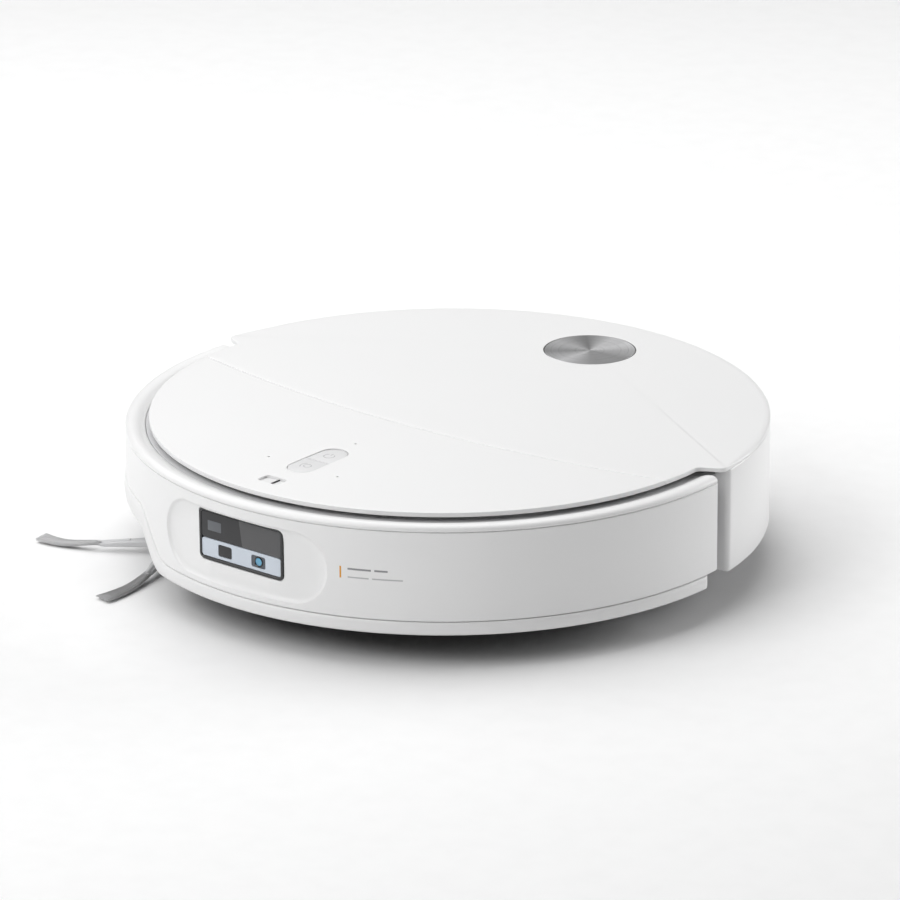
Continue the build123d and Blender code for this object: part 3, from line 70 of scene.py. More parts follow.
BODY_R = lid_high.x
TOP_Z = lid_high.z
LID_BOTTOM = deck_low.z + 4.2 * MM
DECK_R = -deck_low.y
BUMPER_R = -wall_low.y
DISC_Y = (disc_low.y + disc_high.y) / 2
DISC_R = (disc_high.x - disc_low.x) / 2
STRIP_R = -strip_low.y
GROOVE_LOW = strip_low.z + 6.9 * MM
TRIM_SEAM_Z = wall_high.z
RING_TOP = ring_high.z
PILL_Y = (power_high.y + dock_low.y) / 2
PILL_W = power_high.x - power_low.x - 2.0 * MM
PILL_REACH = (power_high.y - dock_low.y - 2.0 * MM - PILL_W) / 2
STATUS_MID = ((status_low.x + status_high.x) / 2, (status_low.y + status_high.y) / 2)
HUB = Vector(((screw_low.x + screw_high.x) / 2, (screw_low.y + screw_high.y) / 2, 0))

# ---------------------------------------------------------------- sizes of the finer shapes
CROWN_DROP = 1.4 * MM
CROWN_R = (BODY_R**2 + CROWN_DROP**2) / (2 * CROWN_DROP)
SEAM_R = 635 * MM
SEAM_FRONT_Y = -37 * MM
SEAM_CENTRE_Y = SEAM_FRONT_Y + SEAM_R
SEAM_GAP = 0.55 * MM
STEP_Y = 14 * MM
STEP_R = 6 * MM

NOTCH_MID = radians(-48)
NOTCH_EDGE = (78 * MM, 50 * MM)
NOTCH_GROOVE = (84 * MM, 52 * MM)
NOTCH_TOP = 38 * MM
GROOVE_TOP = 49 * MM

MODULE_MID = Vector((0, bezel_low.y, (38.8 + 28.1 / 2) * MM))
MODULE_FACE = -MODULE_MID.y
MODULE_W = 57.6 * MM
MODULE_H = 28.1 * MM
MODULE_RIM = 1.5 * MM
MODULE_SPLIT_Z = 50.7 * MM  # seam between the dark window and the pale plate
EYE_Z = 45.4 * MM
EMITTER_X = -11.3 * MM
CAMERA_X = 11.8 * MM

STATUS_W = 14.4 * MM
STATUS_H = 8.4 * MM
MICROPHONES = ((-24.0 * MM, -119.0 * MM), (24.3 * MM, -119.8 * MM), (-0.4 * MM, -76.2 * MM))
COVER_RINGS = 26
LID_PEGS = ((-105 * MM, 100 * MM), (125 * MM, 62 * MM), (-128 * MM, 20 * MM), (128 * MM, 20 * MM))
LID_RIBS = (60 * MM, 100 * MM, 140 * MM)

BUMPER_THICK = 2.6 * MM
BUMPER_END_ROUND = 2.0 * MM
RECESS_W = 111 * MM
RECESS_H = 40 * MM
RECESS_Z = 49 * MM
RECESS_DEPTH = 3.2 * MM
REAR_THICK = 2.5 * MM
REAR_CORNER = 2.6 * MM
FRAME_R = 165 * MM

ARM_ANGLES = (radians(-149), radians(-70))
BRISTLE_REACH = 80.4
BRISTLES = 150


# ---------------------------------------------------------------- materials
def new_material(name):
    """A node material with its Principled shader, its node tree and its object coordinates."""
    material = bpy.data.materials.new(name)
    material.use_nodes = True
    tree = material.node_tree
    shader = tree.nodes["Principled BSDF"]
    coordinates = tree.nodes.new("ShaderNodeTexCoord")
    return material, tree, shader, coordinates.outputs["Object"]


def feed(tree, node, inputs):
    """Link a node's inputs to sockets, or set them to values."""
    for place, value in inputs.items():
        if isinstance(value, bpy.types.NodeSocket):
            tree.links.new(value, node.inputs[place])
        else:
            node.inputs[place].default_value = value


def add_node(tree, kind, inputs, **settings):
    """A shader node with its settings and inputs."""
    node = tree.nodes.new("ShaderNode" + kind)
    for setting, value in settings.items():
        setattr(node, setting, value)
    feed(tree, node, inputs)
    return node


def noise(tree, where, scale, detail, stretch=(1, 1, 1)):
    """A noise texture in object space, as the factor output."""
    mapping = add_node(tree, "Mapping", {"Vector": where, "Scale": stretch})
    inputs = {"Vector": mapping.outputs["Vector"], "Scale": scale, "Detail": detail}
    return add_node(tree, "TexNoise", inputs).outputs["Fac"]


def ramp(tree, factor, stops):
    """A colour ramp with the given (place, colour) stops."""
    node = add_node(tree, "ValToRGB", {"Fac": factor})
    elements = node.color_ramp.elements
    while len(elements) < len(stops):
        elements.new(0.5)
    for element, (place, colour) in zip(elements, stops):
        element.position = place
        element.color = (*colour, 1)
    return node.outputs["Color"]


def spread(tree, factor, low, high):
    """Map a factor from 0..1 onto a range of values."""
    return add_node(tree, "MapRange", {"Value": factor, "To Min": low, "To Max": high}).outputs["Result"]


def share_between(tree, value, low, high):
    """0 up to a low value, 1 from a high value on."""
    return add_node(tree, "MapRange", {"Value": value, "From Min": low, "From Max": high}).outputs["Result"]


def bump(tree, shader, factor, strength):
    """Bump the surface by a factor."""
    node = add_node(tree, "Bump", {"Height": factor, "Strength": strength, "Distance": 0.02 * MM})
    tree.links.new(node.outputs["Normal"], shader.inputs["Normal"])


def two_tone(tree, factor, colour, tone):
    """A colour that darkens by a share of itself where the factor is low."""
    darker = tuple(c * (1 - tone) for c in colour)
    return ramp(tree, factor, [(0.3, darker), (0.7, colour)])


def moulded(name, colour, rough, grain, depth, tone, coat=0.0, rough_spread=0.05):
    """Moulded plastic: a faint tone variation, a fine grain and uneven gloss."""
    material, tree, shader, where = new_material(name)
    fine = noise(tree, where, grain, 2)
    bump(tree, shader, fine, depth)
    feed(tree, shader, {"Base Color": two_tone(tree, noise(tree, where, 14, 2), colour, tone),
                        "Roughness": spread(tree, fine, rough - rough_spread, rough + rough_spread),
                        "Coat Weight": coat,
                        "Coat Roughness": 0.12})
    return material


def metal(name, colour, rough, scale=500, stretch=(1, 1, 1)):
    """Plain or drawn metal with fine scratches."""
    material, tree, shader, where = new_material(name)
    fine = noise(tree, where, scale, 4, stretch)
    bump(tree, shader, fine, 0.1)
    feed(tree, shader, {"Base Color": two_tone(tree, fine, colour, 0.12),
                        "Roughness": spread(tree, fine, rough - 0.08, rough + 0.1),
                        "Metallic": 1})
    return material


def brushed_disc(name):
    """Aluminium turned on a lathe: fine rings round the disc's centre, and a conical sheen painted into the
    base colour as bright and dark sectors (painted highlight and shade).
    """
    material, tree, shader, where = new_material(name)
    shift = add_node(tree, "VectorMath", {0: where, 1: (0, DISC_Y, 0)}, operation="SUBTRACT")
    level = add_node(tree, "VectorMath", {0: shift.outputs["Vector"], 1: (1, 1, 0)}, operation="MULTIPLY")
    flat = level.outputs["Vector"]
    radius = add_node(tree, "VectorMath", {0: flat}, operation="LENGTH").outputs["Value"]
    inputs = {"W": radius, "Scale": 4200, "Detail": 4}
    rings = add_node(tree, "TexNoise", inputs, noise_dimensions="1D").outputs["Fac"]
    colour = ramp(tree, rings, [(0.25, (0.74, 0.74, 0.75)), (0.75, (0.95, 0.95, 0.96))])
    # Painted highlight and shade: the sectors multiply the colour of the turned rings.
    inputs = {"Factor": 1, "A": colour, "B": painted_lathe_sheen(tree, flat)}
    sheen = add_node(tree, "Mix", inputs, data_type="RGBA", blend_type="MULTIPLY")
    tangent = add_node(tree, "Tangent", {}, direction_type="UV_MAP", uv_map="round")
    bump(tree, shader, rings, 0.12)
    feed(tree, shader, {"Base Color": sheen.outputs["Result"],
                        "Roughness": spread(tree, rings, 0.24, 0.34),
                        "Tangent": tangent.outputs["Tangent"],
                        "Metallic": 0.5,
                        "Anisotropic": 0.85})
    return material


def painted_lathe_sheen(tree, where):
    """Painted highlight and shade: bright and dark sectors painted into the colour round the middle, standing
    in for what turned metal shows under a wide light.
    """
    parts = add_node(tree, "SeparateXYZ", {"Vector": where})
    turn = add_node(tree, "Math", {0: parts.outputs["Y"], 1: parts.outputs["X"]}, operation="ARCTAN2")
    dark, mid, light = (0.36, 0.36, 0.36), (0.56, 0.56, 0.56), (1.0, 1.0, 1.0)
    stops = [(0.0, mid), (0.12, dark), (0.24, light), (0.36, mid), (0.5, dark), (0.60, mid), (0.68, light),
             (0.76, light), (0.87, dark), (1.0, mid)]
    return ramp(tree, share_between(tree, turn.outputs["Value"], -pi, pi), stops)


def dark_glass_painted_reflection(name, left, right, reflection_edge_x, reflection_lean):
    """Infrared-pass acrylic with a painted reflection: on the +X side of a leaning edge the colour is a shade
    lighter, standing in for the diagonal reflection of a soft light.
    """
    material, tree, shader, where = new_material(name)
    parts = add_node(tree, "SeparateXYZ", {"Vector": where})
    inputs = {0: parts.outputs["Z"], 1: reflection_lean, 2: parts.outputs["X"]}
    sideways = add_node(tree, "Math", inputs, operation="MULTIPLY_ADD").outputs["Value"]
    place = share_between(tree, sideways, reflection_edge_x - 0.2 * MM, reflection_edge_x + 0.2 * MM)
    feed(tree, shader, {"Base Color": ramp(tree, place, [(0, left), (1, right)]),
                        "Roughness": spread(tree, noise(tree, where, 300, 2), 0.06, 0.12),
                        "Specular IOR Level": 0.35})
    return material


def clear_plastic(name, colour, rough, transmission):
    """Smoked translucent plastic."""
    material = moulded(name, colour, rough, 600, 0.05, 0.03)
    material.node_tree.nodes["Principled BSDF"].inputs["Transmission Weight"].default_value = transmission
    return material


def blued_lens(name):
    """A coated lens: deep blue with a bright cyan middle."""
    material, tree, shader, where = new_material(name)
    facing = add_node(tree, "LayerWeight", {"Blend": 0.35}).outputs["Facing"]
    stops = [(0.0, (0.16, 0.55, 0.80)), (0.5, (0.03, 0.16, 0.32)), (1.0, (0.01, 0.03, 0.06))]
    feed(tree, shader, {"Base Color": ramp(tree, facing, stops),
                        "Roughness": spread(tree, noise(tree, where, 400, 2), 0.03, 0.07),
                        "Coat Weight": 1})
    return material


def circuit(name):
    """Green solder mask with paler tracks."""
    material, tree, shader, where = new_material(name)
    cells = add_node(tree, "TexVoronoi", {"Vector": where, "Scale": 260}, distance="MANHATTAN")
    distance = cells.outputs["Distance"]
    colour = ramp(tree, distance, [(0.30, (0.012, 0.09, 0.045)), (0.38, (0.03, 0.20, 0.10))])
    feed(tree, shader, {"Base Color": colour, "Roughness": spread(tree, distance, 0.28, 0.42)})
    return material


WHITE = (0.90, 0.90, 0.90)
# Moulded plastics: colour, roughness, grain scale, grain depth, tone variation, coat, roughness spread
PLASTICS = {
    "shell": (WHITE, 0.34, 1500, 0.05, 0.006, 0.12, 0.02),
    "deck": (WHITE, 0.34, 1500, 0.05, 0.006, 0.12, 0.02),
    "soft_strip": ((0.88, 0.88, 0.88), 0.46, 1200, 0.06, 0.01),
    "frame_plastic": ((0.62, 0.62, 0.63), 0.5, 800, 0.12, 0.03),
    "base_plastic": ((0.055, 0.055, 0.06), 0.55, 500, 0.4, 0.15),
    "black_gloss": ((0.012, 0.012, 0.014), 0.16, 900, 0.05, 0.2, 0.4),
    "blue_grey": ((0.66, 0.72, 0.80), 0.25, 900, 0.05, 0.06, 0.3),
    "key": ((0.76, 0.76, 0.765), 0.36, 1400, 0.08, 0.015),
    "light_window": ((0.80, 0.80, 0.80), 0.42, 1200, 0.06, 0.02),
    "battery": ((0.02, 0.02, 0.025), 0.4, 300, 0.2, 0.2),
    "gear_housing": ((0.05, 0.05, 0.052), 0.5, 600, 0.3, 0.15),
    "fan_plastic": ((0.08, 0.08, 0.085), 0.48, 600, 0.3, 0.15),
    "bin_lid": ((0.035, 0.035, 0.037), 0.4, 700, 0.3, 0.15),
    "accent": ((0.62, 0.20, 0.05), 0.4, 700, 0.2, 0.08),
    "filter": ((0.86, 0.86, 0.82), 0.85, 1600, 0.6, 0.06),
    "fin_rubber": ((0.075, 0.08, 0.09), 0.62, 700, 0.3, 0.12),
    "tyre": ((0.016, 0.016, 0.018), 0.75, 900, 0.6, 0.25),
    "wheel_plastic": ((0.06, 0.06, 0.065), 0.5, 600, 0.3, 0.15),
    "arm_plastic": ((0.66, 0.66, 0.67), 0.42, 900, 0.2, 0.05),
    "bristle": ((0.80, 0.80, 0.805), 0.5, 2600, 0.3, 0.35),
    "speaker_cone": ((0.02, 0.02, 0.02), 0.7, 900, 0.5, 0.2),
    "amber_mark": ((0.78, 0.36, 0.03), 0.45, 900, 0.05, 0.04),
    "grey_mark": ((0.30, 0.30, 0.31), 0.5, 900, 0.05, 0.05),
    "pale_mark": ((0.52, 0.52, 0.53), 0.5, 900, 0.05, 0.05),
    "groove_shadow": ((0.12, 0.12, 0.12), 0.7, 900, 0.05, 0.1),
    "sensor_grey": ((0.13, 0.14, 0.155), 0.2, 600, 0.1, 0.3, 0.3),
    "camera_grey": ((0.07, 0.08, 0.10), 0.2, 600, 0.1, 0.2, 0.4),
}


def make_materials():
    """Every material of the record's slots and of the small marks, by name."""
    materials = {name: moulded(name, *look) for name, look in PLASTICS.items()}
    materials["disc_metal"] = brushed_disc("disc_metal")
    materials["steel"] = metal("steel", (0.58, 0.58, 0.60), 0.3)
    materials["magnet"] = metal("magnet", (0.66, 0.65, 0.62), 0.2)
    materials["motor_metal"] = metal("motor_metal", (0.5, 0.5, 0.52), 0.32, 400, (0.1, 1, 1))
    # The lighter right-hand colour of the dark window is a painted reflection.
    left, right = (0.040, 0.040, 0.042), (0.105, 0.105, 0.108)
    materials["dark_window"] = dark_glass_painted_reflection("dark_window", left, right, 8.5 * MM, 0.15)
    materials["lens"] = blued_lens("lens")
    materials["pcb"] = circuit("pcb")
    materials["bin_clear"] = clear_plastic("bin_clear", (0.16, 0.165, 0.18), 0.12, 0.75)
    return materials


MATERIALS = make_materials()


# ---------------------------------------------------------------- mesh helpers
def link(name, data):
    """A new object in the scene."""
    made = bpy.data.objects.new(name, data)
    bpy.context.scene.collection.objects.link(made)
    return made


def mesh_data(mesh, name):
    """Bmesh to mesh data with outward normals."""
    bmesh.ops.recalc_face_normals(mesh, faces=mesh.faces)
    data = bpy.data.meshes.new(name)
    mesh.to_mesh(data)
    mesh.free()
    return data


def make_piece(name, mesh, body, slot, replaced=(), material=None, smooth=32):
    """Turn a bmesh into a finished piece that rides on a body."""
    place_piece(name, mesh_data(mesh, name), body, slot, replaced, material, smooth)


def place_piece(name, data, body, slot, replaced=(), material=None, smooth=32):
    """Give a mesh its object, its material (the slot's, unless another is named), shading and body, and hide
    the CAD nodes it replaces.
    """
    data.shade_smooth()
    data.set_sharp_from_angle(angle=radians(smooth))
    data.materials.clear()
    data.materials.append(MATERIALS[material or slot])
    piece = link(name, data)
    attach(piece, body)
    if replaced:
        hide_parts(*replaced)


def add_grid(mesh, rows, loop_rows=False, loop_columns=False):
    """Add a quad surface through rows of points, closing either way when asked."""
    grid = [[mesh.verts.new(point) for point in row] for row in rows]
    high = len(grid) if loop_rows else len(grid) - 1
    wide = len(grid[0]) if loop_columns else len(grid[0]) - 1
    for i in range(high):
        for j in range(wide):
            after_i = (i + 1) % len(grid)
            after_j = (j + 1) % len(grid[0])
            mesh.faces.new((grid[i][j], grid[i][after_j], grid[after_i][after_j], grid[after_i][j]))
    return grid


def add_loft(mesh, rings):
    """A skin through closed rings of points, capped at both ends."""
    grid = add_grid(mesh, rings, loop_columns=True)
    mesh.faces.new(grid[0])
    mesh.faces.new(grid[-1][::-1])


def polar(radius, angle, z):
    """A point at an angle from the front towards +X."""
    return Vector((radius * sin(angle), -radius * cos(angle), z))


def sweep_section(mesh, section, angles):
    """Sweep a closed (radius, z) section round the body, with capped ends."""
    add_loft(mesh, [[polar(radius, angle, z) for radius, z in section] for angle in angles])


def add_rib(mesh, radius, width, low, high, angles):
    """A wall of even section round the body."""
    outer = radius + width
    sweep_section(mesh, [(radius, high), (radius, low), (outer, low), (outer, high)], angles)


def steps(low, high, count):
    """Evenly spaced values from low to high, count spans."""
    return [low + (high - low) * i / count for i in range(count + 1)]


def smoothstep(value):
    """Ease from 0 to 1."""
    value = min(1, max(0, value))
    return value * value * (3 - 2 * value)


def mirrored(points):
    """The same points on the other side of the X=0 plane, in reverse order."""
    return [(-x, y) for x, y in reversed(points)]


def arc_points(centre, radius, first, last, count):
    """Points of an arc in the plan, from angle first to last."""
    return [(centre[0] + radius * cos(a), centre[1] + radius * sin(a)) for a in steps(first, last, count)]


def rounded_rectangle(width, height, radius, count=6):
    """A closed outline with rounded corners round the origin."""
    outline = []
    for corner, (sx, sy) in enumerate(((1, 1), (-1, 1), (-1, -1), (1, -1))):
        centre = (sx * (width / 2 - radius), sy * (height / 2 - radius))
        outline += arc_points(centre, radius, corner * pi / 2, (corner + 1) * pi / 2, count)
    return outline


def inset_point(outline, i, distance):
    """One point of a closed anticlockwise outline, moved inwards along its normal."""
    before = outline[i - 1]
    after = outline[(i + 1) % len(outline)]
    dx, dy = after[0] - before[0], after[1] - before[1]
    size = hypot(dx, dy) or 1
    x, y = outline[i]
    return x - dy / size * distance, y + dx / size * distance


def inset(outline, distance):
    """Move a closed anticlockwise outline inwards."""
    return [inset_point(outline, i, distance) for i in range(len(outline))]


def upright_at(x, y):
    """Plan round an upright axis, with its height along +Z."""
    return lambda u, v, h: Vector((x + u, y + v, h))


def facing_front(x, z):
    """Plan for plates on the front: height runs towards -Y."""
    return lambda u, v, h: Vector((x + u, -h, z + v))


def along_x(y, z):
    """Plan for pieces turned about the X axis."""
    return lambda u, v, h: Vector((h, y + u, z + v))


def round_profile(reach, count=4):
    """Quarter-round edge as (inset, drop) pairs from the side to the top."""
    return [(reach * (1 - cos(a)), reach * (1 - sin(a))) for a in steps(0, pi / 2, count)]


def add_slab(mesh, outline, low, high, place, top_round=0.0):
    """A plate with a rounded upper edge: place(u, v, h) gives the point of (u, v) at height h."""
    edge = round_profile(top_round) if top_round else [(0, 0)]
    rings = [[place(u, v, low) for u, v in outline]]
    rings += [[place(u, v, high - drop) for u, v in inset(outline, step)] for step, drop in edge]
    add_loft(mesh, rings)


def circle(radius, count):
    """A closed circular outline round the origin."""
    return [(radius * cos(tau * i / count), radius * sin(tau * i / count)) for i in range(count)]


def add_turned(mesh, profile, place, count=64):
    """Turn a closed (radius, height) profile about an axis."""
    rings = [[place(u, v, height) for u, v in circle(radius, count)] for radius, height in profile]
    add_grid(mesh, rings, loop_rows=True, loop_columns=True)


def add_lathed(mesh, profile, place, count):
    """Turn an open (radius, height) profile about an axis and cap its two ends."""
    add_loft(mesh, [[place(u, v, height) for u, v in circle(radius, count)] for radius, height in profile])


def add_tube(mesh, points, radius, count):
    """A round tube along a line of points."""
    rings = []
    for i, point in enumerate(points):
        before, after = points[max(i - 1, 0)], points[min(i + 1, len(points) - 1)]
        forward = (after - before).normalized()
        across = forward.cross(Vector((0, 0, 1))).normalized()
        over = across.cross(forward).normalized()
        rings.append([point + across * u + over * v for u, v in circle(radius, count)])
    add_loft(mesh, rings)


def cut(mesh, cutters, name):
    """Subtract closed bmesh cutters from a bmesh and return the result as mesh data."""
    target = link(name + "_whole", mesh_data(mesh, name + "_whole"))
    tools = []
    for number, cutter in enumerate(cutters):
        tool_name = f"{name}_cutter_{number}"
        tools.append(link(tool_name, mesh_data(cutter, tool_name)))
        modifier = target.modifiers.new("cut", "BOOLEAN")
        modifier.operation = "DIFFERENCE"
        modifier.solver = "EXACT"
        modifier.object = tools[-1]
    graph = bpy.context.evaluated_depsgraph_get()
    result = bpy.data.meshes.new_from_object(target.evaluated_get(graph))
    for made in [target] + tools:
        bpy.data.objects.remove(made)
    return result


# ---------------------------------------------------------------- lid and deck
def crown(x, y):
    """Height of the crowned top at a plan point."""
    return TOP_Z - (x * x + y * y) / (2 * CROWN_R)


def seam_y(x, offset):
    """The arc between lid and deck, offset from its middle line."""
    return SEAM_CENTRE_Y - sqrt((SEAM_R + offset)**2 - x * x)


def lid_outline():
    """Anticlockwise outline of the lid: arc seam, sides inside the bumper, steps and rear rim."""
    offset = -SEAM_GAP / 2
    corner_x = seam_corner(offset)
    seam = [(x, seam_y(x, offset)) for x in steps(-corner_x, corner_x, 70)]
    first = atan2(seam[-1][1], seam[-1][0])
    last = asin((STEP_Y - STEP_R) / DECK_R)
    side = arc_points((0, 0), DECK_R, first, last, 10)[1:] + step_curve()
    rim_first = asin((STEP_Y + STEP_R) / BODY_R)
    rim = arc_points((0, 0), BODY_R, rim_first, pi - rim_first, 150)
    return seam + side + rim + mirrored(side)


def seam_corner(offset):
    """Where the seam's arc meets the deck's circle."""
    x = DECK_R
    for _ in range(30):
        x = sqrt(DECK_R**2 - seam_y(x, offset)**2)
    return x


def step_curve():
    """The soft S from the deck's radius out to the rim's radius, as a cubic curve."""
    first = (sqrt(DECK_R**2 - (STEP_Y - STEP_R)**2), STEP_Y - STEP_R)
    inner = (sqrt(DECK_R**2 - STEP_Y**2), STEP_Y)
    outer = (sqrt(BODY_R**2 - STEP_Y**2), STEP_Y)
    last = (sqrt(BODY_R**2 - (STEP_Y + STEP_R)**2), STEP_Y + STEP_R)
    curve = []
    for t in steps(0, 1, 14)[1:-1]:
        weights = ((1 - t)**3, 3 * t * (1 - t)**2, 3 * t * t * (1 - t), t**3)
        curve.append(tuple(sum(w * point[k] for w, point in zip(weights, (first, inner, outer, last)))
                           for k in (0, 1)))
    return [first] + curve + [last]


def edge_reach(x, y):
    """How far the rounded edge reaches in: wide on the rear rim, narrow along the seam."""
    if y < seam_y(x, 0) + 1.5 * MM:
        return 0.4 * MM
    narrow, wide = 1.1 * MM, 4.2 * MM
    if hypot(x, y) < BODY_R - 0.5 * MM:
        return narrow
    return narrow + (wide - narrow) * smoothstep((y - STEP_Y - STEP_R) / (24 * MM))


def rounded_rim(outline):
    """Rings that round a cover's edge from its side up to its crowned top."""
    count = len(outline)
    sharp = [edge_reach(x, y) for x, y in outline]
    reaches = [sum(sharp[(i + k) % count] for k in range(-2, 3)) / 5 for i in range(count)]
    deepest = min(1.7 * MM, TOP_Z - CROWN_DROP - LID_BOTTOM - 0.3 * MM)
    rings = []
    for angle in steps(0, pi / 2, 7):
        ring = []
        for i, reach in enumerate(reaches):
            x, y = inset_point(outline, i, reach * (1 - cos(angle)))
            drop = min(deepest, reach * 0.42 if reach > 1 * MM else reach) * (1 - sin(angle))
            ring.append(Vector((x, y, crown(x, y) - drop)))
        rings.append(ring)
    return rings


def add_cover(mesh, outline, hole, centre, hole_floor=None):
    """A crowned plate between an outline and a hole, both star-shaped round centre."""
    rings = [[Vector((x, y, LID_BOTTOM)) for x, y in outline]] + rounded_rim(outline)
    edge = rings[-1]
    lip = [hole(atan2(point.y - centre[1], point.x - centre[0])) for point in edge]
    for share in steps(0, 1, COVER_RINGS)[1:]:
        sink = 0.12 * MM if share == 1 else 0
        plan = [(outer.x + (x - outer.x) * share, outer.y + (y - outer.y) * share)
                for outer, (x, y) in zip(edge, lip)]
        rings.append([Vector((x, y, crown(x, y) - sink)) for x, y in plan])
    if hole_floor is None:
        rings.append([Vector((x, y, LID_BOTTOM)) for x, y in lip])
        add_grid(mesh, rings, loop_rows=True, loop_columns=True)
    else:
        rings.append([Vector((x, y, hole_floor)) for x, y in lip])
        add_loft(mesh, rings)


def disc_hole(angle):
    """Edge of the disc's recess."""
    radius = DISC_R + 0.6 * MM
    return radius * cos(angle), DISC_Y + radius * sin(angle)


def pill_outline(radius):
    """The buttons' stadium, long along Y, anticlockwise."""
    back = arc_points((0, PILL_Y + PILL_REACH), radius, 0, pi, 20)
    return back + arc_points((0, PILL_Y - PILL_REACH), radius, pi, tau, 20)


def pill_hole(angle):
    """Edge of the buttons' opening seen from the pill's middle."""
    radius = PILL_W / 2 + 0.4 * MM
    x, y = cos(angle), sin(angle)
    if abs(x) > 1e-9 and abs(radius / x * y) <= PILL_REACH:
        distance = abs(radius / x)
    else:
        along = abs(y) * PILL_REACH
        distance = along + sqrt(along**2 - PILL_REACH**2 + radius**2)
    return distance * x, PILL_Y + distance * y


def build_lid():
    """The lift-off lid with its disc recess, magnet pegs and stiffening ribs underneath."""
    mesh = bmesh.new()
    add_cover(mesh, lid_outline(), disc_hole, (0, DISC_Y), disc_low.z - 0.05 * MM)
    root, tip = LID_BOTTOM + 0.2 * MM, lid_low.z
    peg = [(5.5 * MM, root), (5.5 * MM, tip + 0.5 * MM), (5.1 * MM, tip), (4.1 * MM, tip),
           (4.1 * MM, tip + 2 * MM), (0.05 * MM, tip + 2 * MM), (0.05 * MM, root)]
    for x, y in LID_PEGS:
        add_turned(mesh, peg, upright_at(x, y), 40)
    for radius in LID_RIBS:
        add_rib(mesh, radius, 1.4 * MM, LID_BOTTOM - 1.8 * MM, LID_BOTTOM + 0.1 * MM,
                steps(radians(102), radians(258), 60))
    make_piece("lid_panel", mesh, "cover", "shell", ["top_cover"])


def deck_outline():
    """Anticlockwise outline of the front deck."""
    corner_x = seam_corner(SEAM_GAP / 2)
    seam = [(x, seam_y(x, SEAM_GAP / 2)) for x in steps(corner_x, -corner_x, 70)]
    first = atan2(seam[-1][1], seam[-1][0])
    last = atan2(seam[0][1], seam[0][0])
    first = first + tau if first < 0 else first
    last = last + tau if last < first else last
    return seam + arc_points((0, 0), DECK_R, first, last, 130)[1:-1]


def build_deck():
    """The fixed front deck with its button opening, status recess and microphone holes."""
    mesh = bmesh.new()
    add_cover(mesh, deck_outline(), pill_hole, (0, PILL_Y))
    low, high = LID_BOTTOM - 1 * MM, TOP_Z + 1 * MM
    window = bmesh.new()
    opening = rounded_rectangle(STATUS_W + 0.3 * MM, STATUS_H + 0.3 * MM, 2.4 * MM)
    add_slab(window, opening, low, high, upright_at(*STATUS_MID))
    cutters = [window]
    for x, y in MICROPHONES:
        hole = bmesh.new()
        add_slab(hole, circle(0.75 * MM, 20), low, high, upright_at(x, y))
        cutters.append(hole)
    place_piece("deck_panel", cut(mesh, cutters, "deck"), "chassis", "deck", ["front_deck"])


def build_under_deck():
    """The deck's two hanging skirts and the gauze behind the microphone holes."""
    skirt = bmesh.new()
    for first, last in ((-64, -8), (8, 64)):
        add_rib(skirt, 148 * MM, 2 * MM, deck_low.z, LID_BOTTOM - 0.02 * MM,
                steps(radians(first), radians(last), 50))
    make_piece("deck_skirt", skirt, "chassis", "deck")
    gauze = bmesh.new()
    for x, y in MICROPHONES:
        add_slab(gauze, circle(0.9 * MM, 20), LID_BOTTOM - 0.6 * MM, LID_BOTTOM - 0.05 * MM, upright_at(x, y))
    make_piece("microphone_gauze", gauze, "chassis", "speaker_cone")


def half_pill(side, grow):
    """Outline of one button: the stadium cut across its middle."""
    radius = PILL_W / 2 + grow
    split = PILL_Y + side * 0.25 * MM
    kept = [(x, y) for x, y in pill_outline(radius) if side * (y - split) > 0]
    return [(side * radius, split)] + kept + [(-side * radius, split)]


def build_button(name, side, body, node, icon):
    """One half of the pill with a flat top, a rounded upper edge and its pale mark."""
    mesh = bmesh.new()
    top = crown(0, PILL_Y) - 0.35 * MM
    place = upright_at(0, 0)
    add_slab(mesh, half_pill(side, 0), LID_BOTTOM - 0.2 * MM, top, place, top_round=0.5 * MM)
    add_slab(mesh, half_pill(side, 0.9 * MM), LID_BOTTOM - 1.4 * MM, LID_BOTTOM - 0.22 * MM, place)
    make_piece(name, mesh, body, "key", [node])
    mark = bmesh.new()
    icon(mark, PILL_Y + side * 9.2 * MM, top)
    make_piece(name + "_mark", mark, body, "key", material="pale_mark")


def add_arc_mark(mesh, centre, z, radius, arc, count, width):
    """A thin printed arc between two angles in degrees."""
    points = arc_points(centre, radius, radians(arc[0]), radians(arc[1]), count)
    add_ribbon(mesh, [Vector((x, y, z)) for x, y in points], width)


def ring_icon(mesh, y, z):
    """A plain ring, open at the back, with a short bar."""
    add_arc_mark(mesh, (0, y), z, 2.9 * MM, (125, 415), 40, 0.55 * MM)
    add_ribbon(mesh, [Vector((0, y + 1.2 * MM, z)), Vector((0, y + 3.6 * MM, z))], 0.55 * MM)


def dock_icon(mesh, y, z):
    """A plain circle beside a short arc."""
    add_arc_mark(mesh, (0.9 * MM, y), z, 2.1 * MM, (0, 360), 36, 0.5 * MM)
    add_arc_mark(mesh, (0.9 * MM, y), z, 4.0 * MM, (130, 230), 20, 0.5 * MM)


def add_ribbon(mesh, line, width):
    """A thin flat printed line lying on a level surface."""
    low, high = Vector((0, 0, -0.05 * MM)), Vector((0, 0, 0.04 * MM))
    rings = []
    for i, point in enumerate(line):
        before, after = line[max(0, i - 1)], line[min(len(line) - 1, i + 1)]
        across = (after - before).cross(Vector((0, 0, 1))).normalized() * width / 2
        left, right = point - across, point + across
        rings.append([left + low, right + low, right + high, left + high])
    add_loft(mesh, rings)


